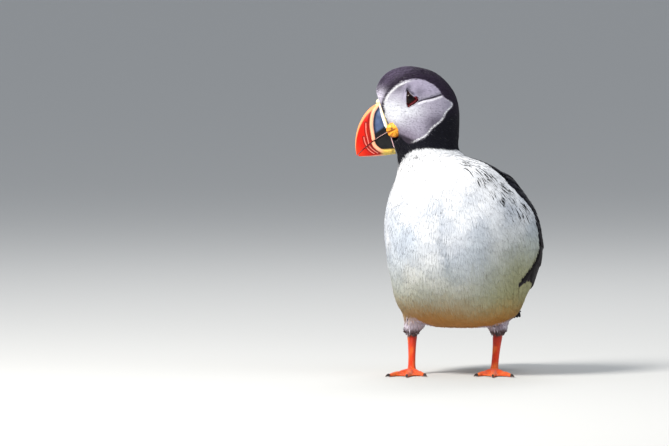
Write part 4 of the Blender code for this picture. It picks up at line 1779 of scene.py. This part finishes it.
@dataclass
class Mandible:
    """Half of the bill between its cutting edge and its outer edge, ridged and grooved."""

    node: str
    edge: tuple
    keel: tuple
    base_half: float
    keel_half: float
    tip_half: float
    material: bpy.types.Material
    segments: int = 132
    rings: int = 120
    overlap: float = 0.2

    RIDGE = ((23.9, -4.0), (26.3, -7.8), (27.3, -11.7), (27.7, -15.3), (27.6, -18.6), (27.0, -22.4),
             (26.3, -26.6))
    GROOVES = (((31.5, -15.8), (31.4, -21.0), (30.8, -24.2), (30.1, -27.2), (29.6, -29.6)),
               ((32.9, -25.4), (32.2, -28.3), (31.3, -30.4), (30.2, -31.4)))
    LOW_RIDGE = ((26.6, -28.4), (25.5, -30.9), (23.7, -32.8), (21.6, -34.2), (19.0, -34.9), (14.6, -35.0))
    LOW_GROOVES = (((29.5, -30.6), (28.2, -32.4), (26.2, -34.2), (23.4, -36.0)),
                   ((31.2, -31.9), (29.9, -33.4), (28.0, -35.1), (26.0, -36.4)))

    @property
    def upper(self) -> bool:
        """Whether this is the upper half."""
        return self.node.endswith("upper")

    def build(self) -> bpy.types.Object:
        """Shape a sphere primitive into the mandible, carve it and paint it."""
        piece = ball(self.node + "_horn", self.segments, self.rings)
        share, turn = globe_places(piece)
        cap, tip = 0.05, 0.985
        along = np.clip((share - cap) / (tip - cap), 0, 1)
        scale = np.sqrt(np.minimum(np.clip(share / cap, 0, 1), np.clip((1 - share) / 0.015, 0, 1)))
        half_turn = np.abs(turn) / math.pi
        rise = np.interp(half_turn, (0, 0.10, 0.14, 0.90, 0.95, 1.0), (0, 0, 0.02, 0.94, 0.985, 1.0))
        lens = np.interp(rise, (0, 0.3, 0.58, 0.8, 0.94, 1.0), (0, 0.12, 0.33, 0.6, 0.92, 1.0))
        taper = (1 - along) ** 0.8
        wide = self.tip_half + (self.base_half - self.tip_half) * taper
        thin = self.tip_half * 0.8 + (self.keel_half - self.tip_half * 0.8) * taper
        half = wide + (thin - wide) * lens
        half *= np.minimum(half_turn / 0.07, 1.0) ** 0.7
        crest = np.clip((half_turn - 0.86) / 0.14, 0, 1)
        half *= np.sqrt(np.clip(1 - crest ** 2, 0, 1))
        near, far = bezier(self.edge, along), bezier(self.keel, along)
        near[:, 1] += -self.overlap if self.upper else self.overlap
        flat = near + (far - near) * rise[:, None]
        mid = near * 0.5 + far * 0.5
        flat = mid + (flat - mid) * scale[:, None]
        half = half * scale
        side = (half_turn > 0.1) & (half_turn < 0.97) & (share > cap)
        half = half + self.relief(flat) * side * np.minimum(half / 1.5, 1)
        places = np.stack((flat[:, 0], np.sign(turn) * half, flat[:, 1]), axis=1)
        set_coordinates(piece.data, HEAD.world(places))
        outward_faces(piece)
        paint(piece.data, self.tint(flat, rise, along, places))
        hand_over(piece, self.material, (self.node,))
        return piece

    def ridge(self, flat: np.ndarray) -> np.ndarray:
        """Distance from the pale raised ridge."""
        return Trace(self.RIDGE if self.upper else self.LOW_RIDGE).distance(flat)

    def groove(self, flat: np.ndarray) -> np.ndarray:
        """Distance from the nearest groove."""
        lines = self.GROOVES if self.upper else self.LOW_GROOVES
        return np.minimum.reduce([Trace(line).distance(flat) for line in lines])

    def behind(self, flat: np.ndarray) -> np.ndarray:
        """1 behind the ridge, on the dark base plate, 0 on the red tip.

        Args:
            flat: ahead and rise of each point.

        Returns:
            One number for each point.
        """
        if self.upper:
            line = np.array(self.RIDGE)[::-1]
            return smooth(-0.35, 0.35, np.interp(flat[:, 1], line[:, 1], line[:, 0]) - flat[:, 0])
        line = np.array(self.LOW_RIDGE)[::-1]
        level = np.interp(flat[:, 0], line[:, 0], line[:, 1])
        return smooth(-0.35, 0.35, flat[:, 1] - level) * (flat[:, 0] < 27.2)

    def relief(self, flat: np.ndarray) -> np.ndarray:
        """Height of ridges and depth of grooves, in millimetres.

        Args:
            flat: ahead and rise of each point.

        Returns:
            One height for each point.
        """
        ridge = self.ridge(flat)
        return (0.60 * bump(ridge, 1.8) - 0.50 * bump(self.groove(flat), 0.75)
                - 0.35 * self.behind(flat) * smooth(1.0, 2.6, ridge))

    def tint(self, flat: np.ndarray, rise: np.ndarray, along: np.ndarray, places: np.ndarray) -> np.ndarray:
        """Colours of the horn.

        Args:
            flat: ahead and rise of each point.
            rise: 0 at the cutting edge, 1 at the outer edge.
            along: 0 at the base, 1 at the tip.
            places: the same points with their outward reach.

        Returns:
            One linear colour a row.
        """
        ridge, groove, behind = self.ridge(flat), self.groove(flat), self.behind(flat)
        noise = wave(places * MM, 1.1 * MM, 3.0)
        tint = layered(
            plain(RED, len(flat)),
            (RED_LIGHT, 0.5 * smooth(0.45, 0.95, wave(places * MM, 4.0 * MM, 5.0))),
            (RED_LIGHT, 0.5 * smooth(0.75, 1.0, along)),
            # Painted shade in front of the ridge and at the grooves' sides.
            (RED_SHADE, 0.90 * (1 - behind) * bump(ridge - 1.9, 1.5)),
            (RED_SHADE, 0.80 * bump(groove - 0.75, 0.6)),
            # Pale line along the grooves: painted highlight.
            (STREAK, 0.75 * bump(groove, 0.42)))
        base = self.base_tint(flat, ridge, noise)
        tint = blended(tint, base, behind)
        pale = plain(PEACH, len(flat))
        if not self.upper:
            heel = (1 - smooth(18.5, 22.5, flat[:, 0])) * (1 - smooth(-34.6, -33.2, flat[:, 1]))
            tint = mix(tint, HEEL, 0.95 * heel)
            pale = mix(pale, YELLOW, 1 - smooth(18, 23, flat[:, 0]))
        tint = blended(tint, pale, 1 - smooth(0.75, 1.45, ridge))
        rim = smooth(0.87, 0.94, rise) * (1 - 0.4 * smooth(0.9, 1.0, along))
        ahead = smooth(0.28, 0.42, along)
        if self.upper:
            knob = 1 - smooth(1.2, 3.4, np.hypot(flat[:, 0] - 23.4, flat[:, 1] + 1.2))
            tint = layered(
                tint,
                # Pale culmen edge: painted highlight.
                (CULMEN_HIGHLIGHT, 0.85 * rim),
                (KNOB, knob),
                ((0.62, 0.40, 0.38), 0.9 * (bump(rise, 0.022) * (1 - ahead))),
                # Dark line along the cutting edge in front: painted shade in the gap between the mandibles.
                ((0.12, 0.01, 0.006), 0.9 * (bump(rise, 0.03) * ahead)))
        else:
            tint = layered(
                tint,
                ((0.95, 0.50, 0.36), 0.6 * rim * smooth(0.25, 0.4, along)),
                # Dark line along the cutting edge in front: painted shade in the gap between the mandibles.
                ((0.08, 0.006, 0.004), 0.9 * bump(rise, 0.03) * ahead))
        return tint * (0.94 + 0.12 * noise[:, None])

    def base_tint(self, flat: np.ndarray, ridge: np.ndarray, noise: np.ndarray) -> np.ndarray:
        """Colours of the dark base plate.

        Args:
            flat: ahead and rise of each point.
            ridge: distance from the pale ridge.
            noise: soft unevenness between 0 and 1.

        Returns:
            One linear colour a row.
        """
        if self.upper:
            # Below this line the upper base plate goes near black: painted shade near the gape.
            gape_shade_line = np.interp(flat[:, 0], (16, 18.2, 19.8, 22.4, 25.2), (-15.8, -17.0, -18.7, -20.6, -22.7))
            return layered(
                plain(SLATE, len(flat)),
                (SLATE_LIGHT, 0.7 * noise * bump(flat[:, 0] - 22.5, 4.0)),
                (INK_AND_SHADE, 1 - smooth(-1.0, 1.2, flat[:, 1] - gape_shade_line)),
                # Dark line beside the ridge: painted shade.
                ((0.012, 0.012, 0.022), 0.85 * bump(ridge - 1.9, 1.0)))
        low = 1 - smooth(-34.2, -32.4, flat[:, 1] + 0.12 * (flat[:, 0] - 14) + 0.8 * (noise - 0.5))
        return layered(
            plain(INK_AND_SHADE, len(flat)),
            (INK_LIGHT, 0.6 * noise),
            (YELLOW, low * (1 - smooth(19, 23, flat[:, 0]))))


def tube(name: str, segments: int, rings: int, centre: np.ndarray, way: np.ndarray, reach_way: float,
         reach_out: np.ndarray) -> bpy.types.Object:
    """A closed bent tube of the head, shaped from a sphere primitive.

    Args:
        name: of the object.
        segments: facets round the tube.
        rings: facets along it.
        centre: knots of its middle line in ahead, out and rise.
        way: unit direction across it, in the same axes.
        reach_way: its half width along that direction, in millimetres.
        reach_out: half thickness at each knot, in millimetres.

    Returns:
        The object.
    """
    piece = ball(name, segments, rings)
    share, turn = globe_places(piece)
    line = Trace(np.column_stack((centre, reach_out)))
    spots = line.at(share)
    ahead_step = line.at(np.clip(share + 0.01, 0, 1))[:, :3] - line.at(np.clip(share - 0.01, 0, 1))[:, :3]
    across = np.cross(ahead_step, way[None, :])
    across /= np.linalg.norm(across, axis=1)[:, None] + 1e-9
    close = np.sqrt(np.clip(np.minimum(share, 1 - share) / 0.05, 0, 1))
    places = (spots[:, :3] + way[None, :] * (np.cos(turn) * reach_way * close)[:, None]
              + across * (np.sin(turn) * spots[:, 3] * close)[:, None])
    set_coordinates(piece.data, HEAD.world(places))
    outward_faces(piece)
    return piece


@dataclass
class Bill:
    """Both mandibles, the fleshy strip at their base and the rosettes at the gape."""

    tilt: float = 18.3
    face: tuple = (16.1, -21.6)

    def build(self) -> None:
        """Make every piece of the bill."""
        horn = Finish("horn", 0.38, grain_scale=1400, grain_depth=0.06 * MM, mottle=0.06,
                      specular=0.22).build()
        Mandible("bill_upper", ((16.3, -21.3), (30.2, -29.0), (37.2, -37.3)),
                 ((22.5, -2.0), (34.4, -6.3), (41.4, -24.1), (37.5, -38.4)), 7.9, 3.2, 1.1, horn).build()
        Mandible("bill_lower", ((15.4, -21.8), (30.0, -29.6), (36.7, -37.5)),
                 ((10.9, -36.8), (24.6, -39.0), (36.4, -38.5)), 7.4, 4.2, 1.0, horn).build()
        self.cere()
        for side in Side:
            self.rosette(side)

    def cere(self) -> None:
        """The pale strip over the forehead and the thin edge below the gape."""
        lean = math.radians(self.tilt)
        way = np.array((math.cos(lean), 0.0, -math.sin(lean)))
        rises = ((0.10, 8.9, 0.0), (0.3, 8.5, 0.1), (0.55, 7.4, 0.1), (0.78, 5.7, -0.3), (0.93, 3.6, -0.8),
                 (0.985, 1.7, -0.9))
        half = [(self.face[0] + 6.2 * r + shift, out, self.face[1] + 19.9 * r) for r, out, shift in rises]
        top = (self.face[0] + 5.6, 0.0, self.face[1] + 20.6)
        knots = np.array(half + [top] + [(a, -out, r) for a, out, r in reversed(half)])
        strip = tube("cere_strip", 28, 150, knots, way, 1.45, np.full(len(knots), 0.85))
        places = HEAD.places(coordinates(strip.data))
        ahead = (places - np.array((self.face[0], 0, self.face[1]))) @ way
        paint(strip.data, layered(
            plain((1.0, 0.96, 0.86), len(places)),
            ((0.80, 0.64, 0.30), 0.85 * (1 - smooth(-0.5, 0.2, ahead))),
            ((0.97, 0.83, 0.45), smooth(-4.5, -2.0, places[:, 2]) * 0.6)))
        knob = ball("cere_knob", 32, 20)
        unit = coordinates(knob.data)
        centre = np.array((22.2, 0.0, -1.5))
        set_coordinates(knob.data, HEAD.world(unit * np.array((2.4, 3.4, 2.2)) + centre))
        outward_faces(knob)
        paint(knob.data, mix(plain((0.98, 0.90, 0.58), len(unit)), (0.95, 0.66, 0.22),
                             0.7 * (1 - smooth(-0.7, 0.1, unit[:, 2]))))
        edges = [knob]
        for side in Side:
            line = np.array(((13.9, 8.2 * side.value, -24.6), (12.9, 7.9 * side.value, -28.5),
                             (11.6, 6.8 * side.value, -32.4))) + way * 0.3
            edge = tube("cere_edge", 12, 30, line, way, 0.55, np.full(3, 0.5))
            paint(edge.data, plain((0.80, 0.50, 0.52), len(edge.data.vertices)))
            edges.append(edge)
        piece = join(strip, edges)
        finish = Finish("cere", 0.45, coat=0.15, subsurface=0.15, grain_scale=1600, grain_depth=0.12 * MM,
                        mottle=0.10, cells=2200)
        hand_over(piece, finish.build(), ("cere",))

    @staticmethod
    def rosette(side: Side) -> None:
        """The pleated fold of skin at one corner of the gape.

        Args:
            side: of the head.
        """
        piece = ball("rosette_fold_" + side.word, 96, 64)
        unit = coordinates(piece.data)
        outward = unit[:, 2]
        flat = np.hypot(unit[:, 0], unit[:, 1])
        turn = np.arctan2(unit[:, 1], unit[:, 0])
        pleats = 0.5 + 0.5 * np.cos(9 * turn + 1.2 * np.sin(3 * turn))
        face = smooth(0.05, 0.5, outward)
        split = bump(unit[:, 1] - 0.02 - 0.10 * unit[:, 0], 0.17) * smooth(-0.5, 0.1, unit[:, 0])
        dot = bump(np.hypot(unit[:, 0] - 0.25, unit[:, 1] - 0.28), 0.26)
        depth = face * (0.16 * pleats * smooth(0.2, 0.8, flat) + 0.36 * split + 0.25 * dot)
        lobe = 1 + 0.05 * np.cos(2 * turn) - 0.10 * bump(turn - 0.02, 0.35)
        scaled = unit * np.array((5.6, 5.7, 3.3)) * lobe[:, None]
        scaled[:, 2] -= depth * 2.4
        lean = math.radians(-28)
        ahead = 11.9 + scaled[:, 0] * math.cos(lean) - scaled[:, 1] * math.sin(lean)
        rise = -19.8 + scaled[:, 1] * math.cos(lean) + scaled[:, 0] * math.sin(lean)
        out = side.value * (11.6 + scaled[:, 2])
        set_coordinates(piece.data, HEAD.world(np.stack((ahead, out, rise), axis=1)))
        outward_faces(piece)
        rear = smooth(0.80, 0.97, flat) * smooth(0.1, 0.8, -unit[:, 1])
        tint = layered(
            plain((0.93, 0.33, 0.010), len(unit)),
            # Lighter towards the top: painted highlight.
            ((1.0, 0.58, 0.06), 0.8 * smooth(-0.2, 0.9, unit[:, 1]) * face),
            # Lighter on the pleats' ridges, darker in their grooves: painted highlight and shade.
            ((1.0, 0.52, 0.04), 0.5 * (1 - pleats) * face),
            ((0.55, 0.12, 0.006), 0.6 * pleats * face * smooth(0.3, 0.8, flat)),
            # Dark in the split: painted shade.
            ((0.30, 0.05, 0.004), 0.85 * np.clip(split, 0, 1) * face),
            ((0.10, 0.015, 0.004), dot * face),
            # Darker along the lower edge: painted shade.
            ((0.20, 0.018, 0.006), np.clip(rear, 0, 1)))
        paint(piece.data, tint)
        finish = Finish("rosette", 0.40, coat=0.2, subsurface=0.15, grain_scale=1500, grain_depth=0.1 * MM,
                        cells=1800)
        hand_over(piece, finish.build(), ("rosette_" + side.word,))


# ---- eyes ----------------------------------------------------------------
@dataclass
class Eyes:
    """Eyeballs, their lids and red rims."""

    ground_tree: BVHTree
    radius: float = 5.2
    out: float = 13.6
    centre: tuple = (1.4, 1.7)
    skin_least: float = 16.2
    skin_missed: float = 17.0

    IRIS = (0.014, 0.005, 0.004)
    PUPIL = (0.004, 0.003, 0.004)
    PLATE = (0.25, 0.23, 0.33)
    TOP_SHADE = (0.035, 0.03, 0.045)
    # Pale line on the upper rear edge of the lid: painted highlight.
    LID_HIGHLIGHT = (0.70, 0.62, 0.72)
    RIM_RED = (0.10, 0.003, 0.005)
    # Pink line along the red rim: painted highlight.
    RIM_HIGHLIGHT = (0.60, 0.10, 0.12)
    RIM_EDGE = (0.012, 0.004, 0.006)
    LID_EDGE = (0.010, 0.006, 0.008)

    def build(self) -> None:
        """Make both eyes."""
        for side in Side:
            self.eyeball(side)
            self.lids(side)

    def eyeball(self, side: Side) -> None:
        """A dark brown ball with a black pupil and a bulging front.

        Args:
            side: of the head.
        """
        piece = ball("eyeball_" + side.word, 64, 48)
        unit = coordinates(piece.data)
        bulge = 1 + 0.035 * smooth(0.75, 1.0, unit[:, 2])
        unit = unit * bulge[:, None]
        places = np.stack((unit[:, 0], side.value * unit[:, 2], unit[:, 1]), axis=1) * self.radius
        places += np.array((self.centre[0], side.value * self.out, self.centre[1]))
        set_coordinates(piece.data, HEAD.world(places))
        outward_faces(piece)
        flat = np.hypot(unit[:, 0], unit[:, 1])
        paint(piece.data, mix(plain(self.IRIS, len(unit)), self.PUPIL, 1 - smooth(0.30, 0.36, flat)))
        finish = Finish("eyeball", 0.14, coat=0.06, mottle=0.12, specular=0.10)
        hand_over(piece, finish.build(), ("eye_" + side.word,))

    def lids(self, side: Side) -> None:
        """Folded lids round the opening: a red rim inside, horny grey plates and pale skin outside.

        Args:
            side: of the head.
        """
        piece = ring("eyelid_" + side.word, 120, 40)
        share, turn = ring_places(piece)
        opening = EyeOpening()
        degrees = np.degrees(turn)
        edge = opening.reach(degrees)
        rear = smooth(-0.2, 0.9, np.cos(turn - math.radians(145)))
        low = opening.low_rear(degrees)
        top = smooth(0.6, 0.97, np.cos(turn - math.radians(100)))
        width = 2.5 + 0.8 * rear + 1.4 * low
        away = width * (0.5 - 0.5 * np.cos(2 * math.pi * share))
        flat = (np.stack((np.cos(turn), np.sin(turn)), axis=1) * (edge + away - 0.1)[:, None]
                + np.array(opening.CENTRE))
        spread = away / width
        from_ball = np.hypot(flat[:, 0] - self.centre[0], flat[:, 1] - self.centre[1]) * 0.98
        ball_out = self.out + np.sqrt(np.clip(self.radius ** 2 - from_ball ** 2, 1.5, None))
        part = smooth(0.0, 0.8, spread)
        level = np.maximum(ball_out, ball_out * (1 - part) + self.skin_out(flat, side) * part)
        thick = (0.4 + 0.4 * rear) * np.sin(math.pi * np.clip(spread * 0.8 + 0.2, 0, 1)) + 0.05
        out = level + np.where(share < 0.5, thick, -0.5)
        places = np.stack((flat[:, 0], side.value * out, flat[:, 1]), axis=1)
        set_coordinates(piece.data, HEAD.world(places))
        outward_faces(piece)
        red = smooth(0.15, 0.6, low)
        paint(piece.data, layered(
            markings(HEAD.world(places)),
            (self.PLATE, 0.8 * rear * (1 - low) * (1 - smooth(0.5, 0.9, spread))),
            (self.TOP_SHADE, 0.92 * top * (1 - 0.5 * smooth(1.4, 2.6, away))),
            # Pale line on the upper rear edge: painted highlight.
            (self.LID_HIGHLIGHT, 0.6 * bump(away - 0.7, 0.35) * rear * (1 - low)),
            (self.RIM_RED, (1 - smooth(2.0, 2.5, away)) * red),
            # Pink line along the red rim: painted highlight.
            (self.RIM_HIGHLIGHT, 0.6 * bump(away - 1.0, 0.3) * red),
            (self.RIM_EDGE, 0.9 * bump(away - 2.5, 0.55) * smooth(0.5, 0.9, low)),
            (self.LID_EDGE, 0.95 * ((1 - smooth(0.3, 0.9, away)) * (1 - red)))))
        finish = Finish("eyelid", 0.6, sheen=0.05, coat=0.1, grain_scale=1500, grain_depth=0.06 * MM,
                        mottle=0.10, cells=1800, specular=0.08)
        hand_over(piece, finish.build())

    def skin_out(self, flat: np.ndarray, side: Side) -> np.ndarray:
        """How far out the skin lies at points of the head's side.

        Args:
            flat: ahead and rise of each point.
            side: of the head.

        Returns:
            One reach in millimetres for each point.
        """
        outs = []
        way = HEAD.left * -side.value
        for ahead, rise in flat:
            start = HEAD.point(ahead, side.value * 40, rise)
            hit = self.ground_tree.ray_cast(start, way, 0.05)[0]
            reach = abs((hit - HEAD.origin).dot(HEAD.left)) / MM if hit is not None else self.skin_missed
            outs.append(max(reach, self.skin_least))
        return np.array(outs)


# ---- claws ---------------------------------------------------------------
def make_claws() -> None:
    """Smooth dark claws over the CAD ones."""
    finish = Finish("claw", 0.35, coat=0.2, grain_scale=1500, grain_depth=0.05 * MM, mottle=0.2).build()
    for side in Side:
        for toe in ("inner", "middle", "outer"):
            node = "claw_" + side.word + "_" + toe
            piece = copy_of(node, "nail_" + side.word + "_" + toe)
            rounder = piece.modifiers.new("rounder", "SUBSURF")
            rounder.levels = rounder.render_levels = 2
            apply_all(piece)
            points = coordinates(piece.data)
            reach = np.linalg.norm(points - points.mean(axis=0), axis=1)
            paint(piece.data, mix(plain((0.028, 0.020, 0.020), len(points)), (0.10, 0.055, 0.04),
                                  0.6 * smooth(0.3, 1.0, reach / reach.max())))
            smooth_faces(piece.data)
            hand_over(piece, finish, (node,))


# ---- stage ---------------------------------------------------------------
def toward(azimuth: float, elevation: float) -> Vector:
    """Unit vector that points at a place of the sky, its angles in degrees."""
    a, e = math.radians(azimuth), math.radians(elevation)
    return Vector((math.sin(a) * math.cos(e), -math.cos(a) * math.cos(e), math.sin(e)))


@dataclass
class Studio:
    """Plain pale floor, soft lights and the camera."""

    azimuth: float = 16.0
    elevation: float = 3.0
    lens: float = 600.0
    sensor: float = 36.0
    frame_width: float = 0.4565
    aside: float = -0.0877
    above: float = 0.1025
    middle_height: float = 0.11
    light_distance: float = 1.6
    floor_radius: float = 120.0
    far: float = 400.0

    def build(self) -> None:
        """Make the floor, the lights and the camera."""
        floor = fresh("floor", bpy.ops.mesh.primitive_circle_add, vertices=96, radius=self.floor_radius,
                      fill_type="NGON", location=(0, 0, FLOOR))
        paper = Recipe("floor", {"Base Color": (0.56, 0.56, 0.55, 1), "Roughness": 0.9})
        floor.data.materials.append(paper.material)
        world = bpy.data.worlds.new("soft")
        world.use_nodes = True
        world.node_tree.nodes["Background"].inputs["Color"].default_value = (0.78, 0.83, 0.90, 1)
        world.node_tree.nodes["Background"].inputs["Strength"].default_value = 0.55
        bpy.context.scene.world = world
        self.lamp("key", toward(-30.0, 44.0), 0.45, 37.0, (1.0, 0.97, 0.92))
        self.lamp("fill", toward(75.0, 22.0), 1.0, 4.0, (0.88, 0.94, 1.0))
        self.lamp("rim", toward(190.0, 50.0), 0.8, 8.0, (1.0, 1.0, 1.0))
        self.camera()
        bpy.context.scene.view_settings.view_transform = "Standard"

    def camera(self) -> None:
        """The camera, at the bird's height and to one side."""
        back = toward(self.azimuth, self.elevation)
        right = Vector((math.cos(math.radians(self.azimuth)), math.sin(math.radians(self.azimuth)), 0.0))
        target = Vector((0.0, 0.0, FLOOR)) + right * self.aside + back.cross(right) * self.above
        data = bpy.data.cameras.new("camera")
        data.lens = self.lens
        data.sensor_width = self.sensor
        data.clip_end = self.far
        made = self.aimed("camera", data, target + back * (self.frame_width * self.lens / self.sensor), back)
        bpy.context.scene.camera = made

    def lamp(self, name: str, back: Vector, size: float, power: float, colour: tuple) -> None:
        """A square soft light aimed at the bird's middle.

        Args:
            name: of the light.
            back: direction from the bird to it.
            size: of its side, in metres.
            power: in watts.
            colour: of the light.
        """
        data = bpy.data.lights.new(name, "AREA")
        data.size = size
        data.energy = power
        data.color = colour
        self.aimed(name, data, Vector((0, 0, self.middle_height)) + back * self.light_distance, back)

    @staticmethod
    def aimed(name: str, data: bpy.types.ID, location: Vector, back: Vector) -> bpy.types.Object:
        """Place a light or a camera.

        Args:
            name: of the object.
            data: the light or the camera.
            location: where it stands.
            back: the direction opposite to the one it looks in.

        Returns:
            The object.
        """
        made = shown(name, data)
        made.location = location
        made.rotation_mode = "QUATERNION"
        made.rotation_quaternion = back.to_track_quat("Z", "Y")
        return made


def main() -> None:
    """Build the looks in order."""
    logging.basicConfig(level=logging.INFO, format="%(name)s %(message)s")
    Studio().build()
    skin = Skin().build()
    ground = grow_coat(skin)
    quill = FeatherFinish("quill", 0.6, 0.16, barb_scale=2.2).build()
    Wings(ground, quill).build()
    Tail(ground, quill).build()
    Bill().build()
    Eyes(skin.tree).build()
    make_claws()


if __name__ == "__main__":
    main()
